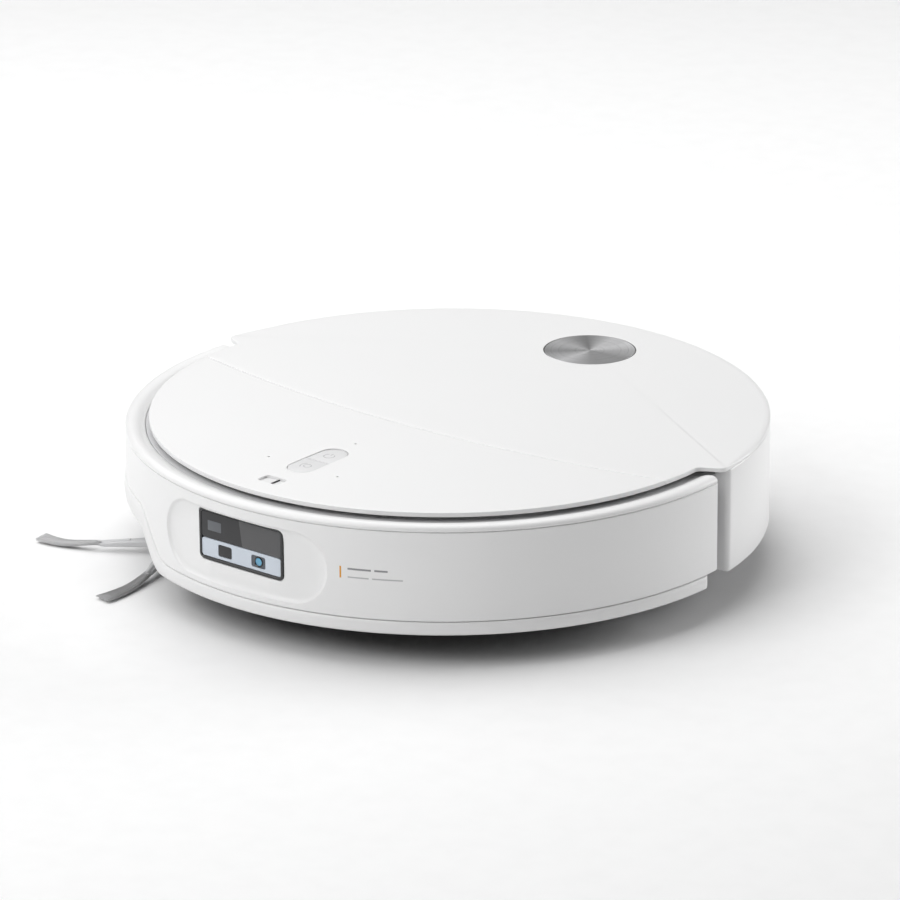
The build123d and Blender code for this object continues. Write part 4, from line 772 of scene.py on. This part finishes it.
def build_status_window():
    """The small recessed light window and the upright divider in it."""
    x, y = STATUS_MID
    floor = crown(x, y) - 1.3 * MM
    light = bmesh.new()
    outline = rounded_rectangle(STATUS_W, STATUS_H, 2.2 * MM)
    add_slab(light, outline, LID_BOTTOM - 1 * MM, floor, upright_at(x, y))
    make_piece("status_light", light, "chassis", "light_window", ["status_window"])
    divider = bmesh.new()
    bar = rounded_rectangle(0.5 * MM, STATUS_H - 0.4 * MM, 0.2 * MM, 2)
    add_slab(divider, bar, floor - 0.1 * MM, floor + 0.7 * MM, upright_at(x + 1.5 * MM, y))
    make_piece("status_divider", divider, "chassis", "gear_housing")


def build_disc():
    """The turned metal disc, slightly dished, with a fine bevel, and a dark ring round it that is painted
    shade for the gap it sits in.
    """
    mesh = bmesh.new()
    layer = mesh.loops.layers.uv.new("round")
    top = crown(0, DISC_Y) - 0.15 * MM
    # radius and depth below the top, in mm
    dish = ((0.02, 0.35), (4, 0.34), (10, 0.30), (16, 0.22), (21, 0.13), (24, 0.08), (24.6, 0), (24.9, 0),
            (25.2, 0.3))
    profile = [(radius * MM, top - depth * MM) for radius, depth in dish]
    profile.append((25.2 * MM, disc_low.z + 0.02 * MM))
    add_lathed(mesh, profile, upright_at(0, DISC_Y), 128)
    wrap_round(mesh, layer)
    make_piece("lid_disc", mesh, "cover", "disc_metal", ["cover_disc"])
    # Painted shade: a dark ring stands for the shadowed gap round the disc.
    ring = bmesh.new()
    section = [(25.3 * MM, disc_low.z), (25.85 * MM, disc_low.z), (25.85 * MM, top - 0.35 * MM),
               (25.3 * MM, top - 0.45 * MM)]
    add_turned(ring, section, upright_at(0, DISC_Y), 128)
    make_piece("disc_gap_shadow_ring", ring, "cover", "gear_housing", material="groove_shadow")


def wrap_round(mesh, layer):
    """Map U to the angle round the disc's centre and V to the distance from it."""
    for face in mesh.faces:
        around = [atan2(loop.vert.co.y - DISC_Y, loop.vert.co.x) for loop in face.loops]
        for loop, angle in zip(face.loops, around):
            wrapped = angle + tau if max(around) - angle > pi else angle
            radius = hypot(loop.vert.co.x, loop.vert.co.y - DISC_Y)
            loop[layer].uv = (wrapped / tau, radius / DISC_R)


# ---------------------------------------------------------------- bumper
def notch_share(angle, reach):
    """0 outside the side-brush notch, 1 across its flat top."""
    across = abs(BUMPER_R * sin(angle - NOTCH_MID))
    if cos(angle - NOTCH_MID) < 0:
        return 0
    return smoothstep((reach[0] - across) / (reach[0] - reach[1]))


def lower_edge(angle):
    """Height of the bumper's lower edge."""
    return strip_low.z + (NOTCH_TOP - strip_low.z) * notch_share(angle, NOTCH_EDGE)


def groove_height(angle):
    """Height of the line between the strip and the wall, wider over the notch."""
    return GROOVE_LOW + (GROOVE_TOP - GROOVE_LOW) * notch_share(angle, NOTCH_GROOVE)


def bumper_angles(end_y, radius):
    """Angles along the bumper, closer together at the notch and the recess."""
    end = acos(-end_y / radius)
    front = 0.37
    return steps(-end, -front, 170)[:-1] + steps(-front, front, 230) + steps(front, end, 120)[1:]


def recess_depth(angle, z):
    """Depth of the soft stadium recess round the sensor module."""
    core = max(0, abs(BUMPER_R * sin(angle)) - (RECESS_W - RECESS_H) / 2)
    inside = RECESS_H / 2 - hypot(core, z - RECESS_Z)
    if cos(angle) < 0 or inside < 0:
        return 0
    full = max(BUMPER_R + (MODULE_MID.y - 0.3 * MM) / cos(angle), RECESS_DEPTH)
    rest = 1 - min(1, inside / (11 * MM))
    return full * sqrt(1 - rest * rest) * smoothstep(0.3 + inside / (1.2 * MM))


def bumper_column(angle, end):
    """One upright section of the bumper's wall, up its outside and down its inside."""
    inner = BUMPER_R - BUMPER_THICK
    low = groove_height(angle) + 0.35 * MM
    heights = steps(low + 0.4 * MM, TRIM_SEAM_Z - 0.4 * MM, 84)
    column = [(inner, low), (BUMPER_R - 0.8 * MM, low), (BUMPER_R - 0.25 * MM, low + 0.1 * MM)]
    column += [(BUMPER_R - recess_depth(angle, z), z) for z in heights]
    column += [(BUMPER_R - 0.12 * MM, TRIM_SEAM_Z - 0.1 * MM), (BUMPER_R - 0.4 * MM, TRIM_SEAM_Z),
               (inner, TRIM_SEAM_Z)]
    for z in reversed(heights[::4]):
        depth = recess_depth(angle, z)
        column.append((inner - depth + 0.5 * min(depth, RECESS_DEPTH), z))
    near_end = max(0, 1 - (end - abs(angle)) * BUMPER_R / BUMPER_END_ROUND)
    pull = BUMPER_END_ROUND * (1 - sqrt(max(0, 1 - near_end**2)))
    return [polar(r - (pull if r > BUMPER_R - 1.5 * MM else 0), angle, z) for r, z in column]


def build_bumper_wall():
    """The bumper's wall with the recess, the module's opening and the notch line."""
    mesh = bmesh.new()
    angles = bumper_angles(wall_high.y, BUMPER_R)
    add_loft(mesh, [bumper_column(angle, angles[-1]) for angle in angles])
    opening = bmesh.new()
    outline = rounded_rectangle(MODULE_W + 0.7 * MM, MODULE_H + 0.7 * MM, 3.3 * MM)
    add_slab(opening, outline, 140 * MM, 180 * MM, facing_front(0, MODULE_MID.z))
    place_piece("bumper_wall", cut(mesh, [opening], "bumper"), "bumper", "shell", ["bumper_shell"], smooth=38)


def strip_column(angle, end):
    """One upright section of the strip: flat behind, a full bead in front, thinner at the ends."""
    low, high = lower_edge(angle), groove_height(angle)
    middle, half = (low + high) / 2, (high - low) / 2
    tip = 1 - max(0, 1 - (end - abs(angle)) * STRIP_R / (3.5 * MM))**2
    back, root = BUMPER_R - 3.0 * MM, BUMPER_R - 0.7 * MM
    proud = (STRIP_R - root) * sqrt(max(0.02, tip))
    steep = radians(78)
    section = [(back, low + 0.3 * MM), (back, high), (BUMPER_R - 0.9 * MM, high)]
    section += [(root + proud * cos(a)**0.45, middle + half * sin(a) / sin(steep))
                for a in steps(steep, radians(-68), 14)]
    section.append((BUMPER_R - 1.3 * MM, low))
    return [polar(r, angle, z) for r, z in section]


def build_strip():
    """The soft lower strip: a bead along the bottom that swells and follows the notch."""
    mesh = bmesh.new()
    angles = bumper_angles(strip_high.y, STRIP_R)
    add_loft(mesh, [strip_column(angle, angles[-1]) for angle in angles])
    make_piece("bumper_strip", mesh, "bumper", "soft_strip", ["bumper_soft_strip"], smooth=50)


def build_top_ring():
    """The bumper's top trim: rounded outer edge and a dished top that falls inwards."""
    seam, top = TRIM_SEAM_Z, RING_TOP
    section = [(BUMPER_R - 3.0 * MM, seam + 0.35 * MM), (BUMPER_R - 0.35 * MM, seam + 0.3 * MM),
               (BUMPER_R, seam + 0.55 * MM)]
    reach_r, reach_z = 3.6 * MM, 2.3 * MM
    section += [(BUMPER_R - reach_r * (1 - cos(a)), top - reach_z * (1 - sin(a)))
                for a in steps(0, pi / 2, 10)]
    section += [(BUMPER_R - 6.0 * MM, top - 0.30 * MM), (BUMPER_R - 8.5 * MM, top - 1.0 * MM),
                (DECK_R + 3.2 * MM, top - 1.65 * MM), (DECK_R + 2.4 * MM, top - 1.9 * MM),
                (DECK_R + 2.0 * MM, top - 2.4 * MM), (DECK_R + 1.8 * MM, seam + 0.45 * MM)]
    end = acos(-ring_high.y / BUMPER_R)
    mesh = bmesh.new()
    sweep_section(mesh, section, steps(-end, end, 300))
    make_piece("bumper_trim", mesh, "bumper", "shell", ["bumper_top_ring"], smooth=40)
    flange = bmesh.new()
    add_rib(flange, DECK_R - 3 * MM, 4.7 * MM, seam + 0.4 * MM, top - 2.4 * MM, steps(-end, end, 200))
    make_piece("bumper_trim_flange", flange, "bumper", "frame_plastic")


# piece, slot, material, lower and upper height in mm, arcs in degrees from the front
MARKS = (
    ("amber_bar", "accent", "amber_mark", 47.2, 53.6, ((20.85, 21.15),)),
    ("upper_dashes", "shell", "grey_mark", 52.0, 53.0, ((22.3, 26.4), (27.0, 29.3))),
    ("lower_dashes", "shell", "pale_mark", 47.6, 48.3, ((22.3, 26.0), (26.6, 31.9))),
)


def build_marks():
    """Plain unlettered marks beside the module: one amber bar and two rows of grey dashes."""
    for name, slot, material, low, high, arcs in MARKS:
        mesh = bmesh.new()
        for first, last in arcs:
            angles = steps(radians(first), radians(last), max(2, int((last - first) * 4)))
            add_rib(mesh, BUMPER_R - 0.05 * MM, 0.08 * MM, low * MM, high * MM, angles)
        make_piece(name, mesh, "bumper", slot, material=material)


# ---------------------------------------------------------------- rear wall
def rear_outline():
    """Anticlockwise plan of the rear wall: outer arc, rounded corners, short end walls, inner arc."""
    front, back = rear_low.y, rear_low.y + REAR_THICK
    corner_r = BODY_R - REAR_CORNER
    first = asin((front + REAR_CORNER) / corner_r)
    outer = arc_points((0, 0), BODY_R, first, pi - first, 160)
    middle = (-corner_r * cos(first), front + REAR_CORNER)
    left = arc_points(middle, REAR_CORNER, pi - first, 3 * pi / 2, 6)[1:]
    left += [(-sqrt(FRAME_R**2 - y * y), y) for y in (front, back)]
    inner_r = BODY_R - REAR_THICK
    inner_first = asin(back / inner_r)
    inner = arc_points((0, 0), inner_r, pi - inner_first, inner_first, 120)
    return outer + left + inner + mirrored(left)


def exhaust_slot(angle):
    """Cutter for one upright slot through the wall."""
    outward, across = Vector((cos(angle), sin(angle), 0)), Vector((-sin(angle), cos(angle), 0))
    slot = bmesh.new()
    add_slab(slot, rounded_rectangle(2.2 * MM, 14 * MM, 1.0 * MM, 4), 168 * MM, 180 * MM,
             lambda u, v, h: outward * h + across * u + Vector((0, 0, 37 * MM + v)))
    return slot


def build_rear_wall():
    """The rear half of the side wall, with softened edges and the exhaust slots."""
    mesh = bmesh.new()
    outline = rear_outline()
    low, high = rear_low.z, rear_high.z
    edges = ((0.9, low), (0.35, low + 0.35 * MM), (0.0, low + 1.1 * MM), (0.0, high - 0.9 * MM),
             (0.25, high - 0.25 * MM), (0.7, high))
    add_loft(mesh, [[Vector((x, y, z)) for x, y in inset(outline, step * MM)] for step, z in edges])
    cutters = [exhaust_slot(radians(40 + 3 * k)) for k in range(9)]
    place_piece("rear_wall", cut(mesh, cutters, "rear"), "chassis", "shell", ["rear_shell"], smooth=40)


# ---------------------------------------------------------------- sensor module
def add_module_plate(mesh, x, z, width, height, radius, depth):
    """A plate of the module with a softened front edge, its face a depth behind the bezel's."""
    outline = rounded_rectangle(width, height, radius, 6)
    face = MODULE_FACE - depth
    add_slab(mesh, outline, face - 1.8 * MM, face, facing_front(x, z), top_round=0.18 * MM)


def build_bezel():
    """The glossy black frame round the module."""
    outer = rounded_rectangle(MODULE_W, MODULE_H, 3.0 * MM, 8)
    hollow = rounded_rectangle(MODULE_W - 2 * MODULE_RIM, MODULE_H - 2 * MODULE_RIM, 1.7 * MM, 8)
    place = facing_front(0, MODULE_MID.z)
    # outline, inset and depth behind the face in mm, from the back edge round into the hollow
    rings = ((outer, 0, 8), (outer, 0, 0.5), (outer, 0.15, 0.1), (outer, 0.5, 0), (hollow, -0.3, 0),
             (hollow, 0, 0.3), (hollow, 0, 3))
    mesh = bmesh.new()
    add_loft(mesh, [[place(u, v, MODULE_FACE - depth * MM) for u, v in inset(outline, step * MM)]
                    for outline, step, depth in rings])
    make_piece("module_bezel", mesh, "chassis", "black_gloss", ["sensor_bezel"])


def add_cliff_window(mesh, turn):
    """One window in the base plate, its long side across the radius."""
    out, side = Vector((cos(turn), sin(turn), 0)), Vector((-sin(turn), cos(turn), 0))
    outline = rounded_rectangle(7 * MM, 14 * MM, 1.0 * MM)
    add_slab(mesh, outline, -base_low.z - 1.5 * MM, -base_low.z - 0.2 * MM,
             lambda u, v, h: out * (143 * MM + u) + side * v + Vector((0, 0, -h)), top_round=0.3 * MM)


def build_windows():
    """The dark front window, the emitter window and the six cliff windows underneath."""
    mesh = bmesh.new()
    high = MODULE_MID.z + MODULE_H / 2 - MODULE_RIM
    add_module_plate(mesh, 0, (MODULE_SPLIT_Z + high) / 2, MODULE_W - 2 * MODULE_RIM,
                     high - MODULE_SPLIT_Z - 0.35 * MM, 1.6 * MM, 0.45 * MM)
    add_module_plate(mesh, EMITTER_X, EYE_Z, 9.2 * MM, 6.2 * MM, 1.1 * MM, 0.75 * MM)
    for angle in (212, 246, 294, 328, 62, 118):
        add_cliff_window(mesh, radians(angle))
    make_piece("dark_windows", mesh, "chassis", "dark_window", ["infrared_windows"])


def eye_hole(x, width):
    """Cutter for the emitter's or the camera's opening in the pale plate."""
    cutter = bmesh.new()
    outline = rounded_rectangle(width, 6.6 * MM, 1.2 * MM)
    add_slab(cutter, outline, 150 * MM, 175 * MM, facing_front(x, EYE_Z))
    return cutter


def build_pale_plate():
    """The pale plate with its two openings, and the small light sensor above it."""
    plate = bmesh.new()
    low = MODULE_MID.z - MODULE_H / 2 + MODULE_RIM
    add_module_plate(plate, 0, (MODULE_SPLIT_Z + low) / 2, MODULE_W - 2 * MODULE_RIM,
                     MODULE_SPLIT_Z - low - 0.35 * MM, 1.6 * MM, 0.5 * MM)
    holes = [eye_hole(EMITTER_X, 9.4 * MM), eye_hole(CAMERA_X, 9.7 * MM)]
    place_piece("pale_plate", cut(plate, holes, "plate"), "chassis", "blue_grey", ["sensor_plate"])
    sensor = bmesh.new()
    add_module_plate(sensor, -18.3 * MM, 58.0 * MM, 9.4 * MM, 5.6 * MM, 0.5 * MM, 0.35 * MM)
    make_piece("light_sensor", sensor, "chassis", "blue_grey", material="sensor_grey")


def build_camera_eye():
    """The camera behind the plate: its block, the ring round the lens and the domed glass."""
    place = facing_front(CAMERA_X, EYE_Z)
    block = bmesh.new()
    add_module_plate(block, CAMERA_X, EYE_Z, 9.5 * MM, 6.5 * MM, 1.1 * MM, 0.8 * MM)
    make_piece("camera_block", block, "chassis", "black_gloss", ["camera_barrel"], material="camera_grey")
    ring = bmesh.new()
    section = ((2.9, 1.0), (2.9, 0.5), (2.5, 0.35), (2.2, 0.6), (2.2, 1.0))
    add_turned(ring, [(radius * MM, MODULE_FACE - depth * MM) for radius, depth in section], place, 48)
    make_piece("camera_ring", ring, "chassis", "black_gloss")
    glass = bmesh.new()
    dome = [(radius * MM, MODULE_FACE - (0.85 - 0.35 * sqrt(1 - (radius / 2.25)**2)) * MM)
            for radius in (0.05, 0.6, 1.1, 1.6, 2.0, 2.2)]
    add_lathed(glass, dome, place, 40)
    make_piece("camera_glass", glass, "chassis", "lens", ["camera_lens"])


# ---------------------------------------------------------------- side brush
def brush_path(angle, share):
    """Middle line of one bristle bundle from the arm's end to its tips, and its direction there."""
    start = 42 if angle < ARM_ANGLES[1] else 30
    distance = (start + (BRISTLE_REACH - start) * share) * MM
    height = (4.6 - 2.6 * smoothstep(share * 1.5)) * MM
    turn = angle + radians(-9) * share**1.6
    return HUB + Vector((distance * cos(turn), distance * sin(turn), height)), turn


def build_side_brush():
    """The side brush's plastic: hub, two swept arms and the clips at their ends."""
    plastic = bmesh.new()
    low, high = 4.2 * MM, 8.9 * MM
    hub = [(1.7, low), (8.6, low), (9.6, low + 0.5 * MM), (10, low + 1.4 * MM), (10, high - 0.6 * MM),
           (9.4, high), (1.7, high)]
    add_turned(plastic, [(radius * MM, z) for radius, z in hub], upright_at(HUB.x, HUB.y), 64)
    clips = bmesh.new()
    for angle in ARM_ANGLES:
        add_arm(plastic, angle)
        along = Vector((cos(angle), sin(angle), 0))
        line = [HUB + along * distance * MM + Vector((0, 0, z * MM))
                for distance, z in ((26, 6.4), (33, 5.6), (40, 4.8), (44, 4.4))]
        add_tube(clips, line, 1.5 * MM, 10)
    make_piece("side_brush_arms", plastic, "side_brush", "arm_plastic", ["side_hub"])
    make_piece("bristle_clips", clips, "side_brush", "arm_plastic")


def build_side_bristles():
    """Two flat bundles of single bristles that fan out and trail behind their arms."""
    rng = random.Random(7)
    strands = bmesh.new()
    for angle in [angle for angle in ARM_ANGLES for _ in range(BRISTLES)]:
        across, lift = rng.uniform(-1, 1), rng.uniform(-1, 1)
        reach = 0.965 + 0.035 * across + rng.uniform(-0.01, 0.01)
        line = []
        for share in steps(0, reach, 9):
            point, turn = brush_path(angle, share)
            side = Vector((-sin(turn), cos(turn), 0))
            fan = (1.4 + 4.4 * share**1.2) * MM
            thick = (1.2 - 0.5 * share) * MM
            line.append(point + side * across * fan + Vector((0, 0, lift * thick)))
        add_tube(strands, line, 0.16 * MM, 3)
    make_piece("side_bristle_bundles", strands, "side_brush", "bristle", ["side_bristles"], smooth=180)


def add_arm(mesh, angle):
    """One arm: a tapered bar with rounded edges, thicker at the hub."""
    along, side = Vector((cos(angle), sin(angle), 0)), Vector((-sin(angle), cos(angle), 0))
    rings = []
    # distance from the hub's middle, half width, lower and upper height, in mm
    for distance, half, low, high in ((6, 4.6, 4.6, 8.8), (14, 4.0, 4.4, 8.2), (24, 3.2, 3.9, 7.2),
                                      (34, 2.7, 3.3, 6.2), (40, 2.3, 2.9, 5.4), (43, 1.6, 2.9, 4.9)):
        middle = HUB + along * distance * MM + Vector((0, 0, (low + high) / 2 * MM))
        section = rounded_rectangle(2 * half * MM, (high - low) * MM, 0.9 * MM, 3)
        rings.append([middle + side * u + Vector((0, 0, v)) for u, v in section])
    add_loft(mesh, rings)


# ---------------------------------------------------------------- wheels, main brush and springs
def tread_section(share, half, radius):
    """One section across the tyre, a share of the way round, as (radius, x) pairs."""
    inner, shoulder, crest = radius - 6 * MM, radius - 2.6 * MM, radius - 1.7 * MM
    section = [(inner, -half), (shoulder, -half), (crest, -half + 0.6 * MM)]
    for u in steps(-0.92, 0.92, 22):
        wave = (share * 24 + abs(u) * 0.55) % 1.0
        lug = smoothstep(min(wave, 1 - wave) * 9 - 0.9)
        groove = 0.4 * MM if abs(u) < 0.06 else 0
        section.append((radius - 1.5 * MM * (1 - lug) - groove - 0.35 * MM * u**6, u * half))
    return section + [(crest, half - 0.6 * MM), (shoulder, half), (inner, half)]


def build_tyre(side):
    """A tyre with chevron lugs."""
    low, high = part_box(side + "_tyre")
    middle = (low + high) / 2
    half, radius = (high.x - low.x) / 2, (high.z - low.z) / 2
    rings = []
    for share in steps(0, 1, 240)[:-1]:
        out = Vector((0, cos(tau * share), sin(tau * share)))
        section = tread_section(share, half, radius)
        rings.append([Vector((middle.x + x, 0, middle.z)) + out * r for r, x in section])
    mesh = bmesh.new()
    add_grid(mesh, rings, loop_rows=True, loop_columns=True)
    make_piece(side + "_tread", mesh, side + "_drive_wheel", "tyre", [side + "_tyre"], smooth=45)


def build_rim(side):
    """The spoked wheel inside a tyre."""
    low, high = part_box(side + "_tyre")
    middle = (low + high) / 2
    outward = 1 if middle.x > 0 else -1
    place = along_x(0, middle.z)
    mesh = bmesh.new()
    # radius and distance from the wheel's middle plane, in mm
    rim = ((29, -9.4), (29, 9.4), (26.6, 9.4), (25.4, 4.4), (10.5, 2.6), (8.2, 3.2), (8.2, 9.0), (4.2, 9.0),
           (4.2, -9.4))
    add_turned(mesh, [(radius * MM, middle.x + outward * x * MM) for radius, x in rim], place, 96)
    spoke_x = middle.x + outward * 6.0 * MM
    for turn in steps(0, tau, 5)[:-1]:
        root = place(8 * MM * cos(turn), 8 * MM * sin(turn), spoke_x)
        for way in (turn - 0.12, turn + 0.12):
            tip = place(26 * MM * cos(way), 26 * MM * sin(way), spoke_x)
            add_tube(mesh, [root, root.lerp(tip, 0.5), tip], 1.3 * MM, 8)
    make_piece(side + "_rim", mesh, side + "_drive_wheel", "wheel_plastic", [side + "_wheel"])


def build_main_brush():
    """The roller: a sleeve and six helical rubber fins that meet in a chevron."""
    low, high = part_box("brush_fins")
    middle = (low + high) / 2
    tip = (high.z - low.z) / 2 / MM - 0.1
    # radius and half thickness across a fin, in mm
    flank = ((12.4, 1.3), (16, 1.0), (20.2, 0.8), (tip, 0.35))
    section = flank + tuple((radius, -half) for radius, half in reversed(flank))
    mesh = bmesh.new()
    sleeve = [(11.2 * MM, low.x), (12.9 * MM, low.x), (12.9 * MM, high.x), (11.2 * MM, high.x)]
    add_turned(mesh, sleeve, along_x(middle.y, middle.z), 64)
    for start in steps(0, tau, 6)[:-1]:
        rings = []
        for x in steps(low.x + 0.5 * MM, high.x - 0.5 * MM, 90):
            twist = start + abs(x - middle.x) * 11
            out, along = Vector((0, cos(twist), sin(twist))), Vector((0, -sin(twist), cos(twist)))
            centre = Vector((x, middle.y, middle.z))
            rings.append([centre + out * radius * MM + along * half * MM for radius, half in section])
        add_loft(mesh, rings)
    make_piece("roller_fins", mesh, "main_brush", "fin_rubber", ["brush_fins"])


def build_spring(side):
    """A drive spring as a real coil of five turns."""
    low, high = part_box(side + "_spring")
    middle = (low + high) / 2
    radius = (high.x - low.x) / 2 - 0.7 * MM
    line = []
    for share in steps(0, 1, 5 * 24):
        angle = 5 * tau * share
        z = low.z + 0.7 * MM + (high.z - low.z - 1.4 * MM) * (share + 0.02 * sin(tau * share))
        line.append(Vector((middle.x + radius * cos(angle), middle.y + radius * sin(angle), z)))
    mesh = bmesh.new()
    add_tube(mesh, line, 0.6 * MM, 8)
    make_piece(side + "_coil", mesh, "chassis", "steel", [side + "_spring"], smooth=180)


# ---------------------------------------------------------------- underside and inner pieces
def build_base_skin():
    """Moulded ribs on the underside."""
    mesh = bmesh.new()
    for radius in (118 * MM, 132 * MM):
        for first, last in ((-150, -128), (128, 150), (152, 208)):
            add_rib(mesh, radius, 1.2 * MM, base_low.z - 0.5 * MM, base_low.z + 0.2 * MM,
                    steps(radians(first), radians(last), 24))
    make_piece("base_ribs", mesh, "chassis", "base_plastic")


def finish_cad_nodes():
    """Every CAD node that stays gets its slot's material."""
    for part in frame["record"]["subparts"]:
        node = frame["nodes"][part["node"]]
        node.data.materials.clear()
        node.data.materials.append(MATERIALS[part["material_slot"]])
        node.data.shade_smooth()
        modifier = node.modifiers.new("edges", "EDGE_SPLIT")
        modifier.split_angle = radians(30)


# ---------------------------------------------------------------- floor, light and camera
def build_floor():
    """A plain pale floor that curves up behind."""
    mesh = bmesh.new()
    bend = [(3.0 + 2.0 * sin(a), 2.0 * (1 - cos(a))) for a in steps(0, pi / 2, 16)]
    back, across = Vector((-0.60, 0.80, 0)), Vector((0.80, 0.60, 0))
    rows = [[back * distance + across * w + Vector((0, 0, height)) for w in steps(-7, 7, 6)]
            for distance, height in [(-6.0, 0.0), (3.0, 0.0)] + bend + [(5.0, 7.0)]]
    add_grid(mesh, rows)
    data = mesh_data(mesh, "studio_floor")
    data.shade_smooth()
    material, tree, shader, where = new_material("studio_paper")
    paper = ramp(tree, noise(tree, where, 60, 3), [(0.3, (0.93, 0.93, 0.93)), (0.7, (0.95, 0.95, 0.95))])
    tree.links.new(paper, shader.inputs["Base Color"])
    shader.inputs["Roughness"].default_value = 0.9
    shader.inputs["Specular IOR Level"].default_value = 0.1
    data.materials.append(material)
    link("studio_floor", data)


def add_area(name, place, target, width, height, power):
    """A soft box aimed at a point."""
    data = bpy.data.lights.new(name, "AREA")
    data.shape = "RECTANGLE"
    data.size = width
    data.size_y = height
    data.energy = power
    lamp = link(name, data)
    lamp.location = place
    direction = Vector(target) - Vector(place)
    lamp.rotation_euler = direction.to_track_quat("-Z", "Y").to_euler()


def build_lights():
    """A bright plain surround and soft boxes above, left and behind."""
    world = bpy.data.worlds.new("surround")
    bpy.context.scene.world = world
    world.use_nodes = True
    background = world.node_tree.nodes["Background"]
    background.inputs["Color"].default_value = (1, 1, 1, 1)
    background.inputs["Strength"].default_value = 0.12
    add_area("top_box", (-0.65, 0.1, 1.35), (-0.1, 0, 0), 2.0, 2.0, 23)
    add_area("front_box", (-0.5, -1.65, 1.45), (0, 0, 0.05), 1.4, 1.2, 20)
    add_area("rear_box", (1.1, 1.9, 0.7), (0, 0, 0.05), 1.4, 1.1, 28)
    view = bpy.context.scene.view_settings
    view.view_transform = "Standard"
    view.look = "None"
    view.exposure = 0.0
    view.gamma = 1.0


def build_camera():
    """The camera: a long lens three metres off, to the front right and a little above."""
    data = bpy.data.cameras.new("camera")
    data.lens = 221.6
    data.sensor_width = 36
    data.clip_start = 0.1
    data.clip_end = 30
    camera = link("camera", data)
    place = Vector((1.7985, -2.1687, 1.0748))
    forward = (Vector((-0.00179, 0.00380, 0.05537)) - place).normalized()
    level = Vector((0.7713, 0.6365, -0.0058))
    up = level.cross(forward).normalized()
    right = forward.cross(up).normalized()
    turn = Matrix((right, up, -forward)).transposed().to_4x4()
    camera.matrix_world = Matrix.Translation(place) @ turn
    bpy.context.scene.camera = camera


build_camera()
build_lights()
build_floor()
finish_cad_nodes()
build_lid()
build_deck()
build_under_deck()
build_button("power_key_cap", 1, "power_key", "power_button", ring_icon)
build_button("dock_key_cap", -1, "dock_key", "dock_button", dock_icon)
build_status_window()
build_disc()
build_bumper_wall()
build_strip()
build_top_ring()
build_marks()
build_rear_wall()
build_bezel()
build_windows()
build_pale_plate()
build_camera_eye()
build_side_brush()
build_side_bristles()
build_tyre("left")
build_rim("left")
build_tyre("right")
build_rim("right")
build_main_brush()
build_spring("left")
build_spring("right")
build_base_skin()

bpy.context.view_layer.update()
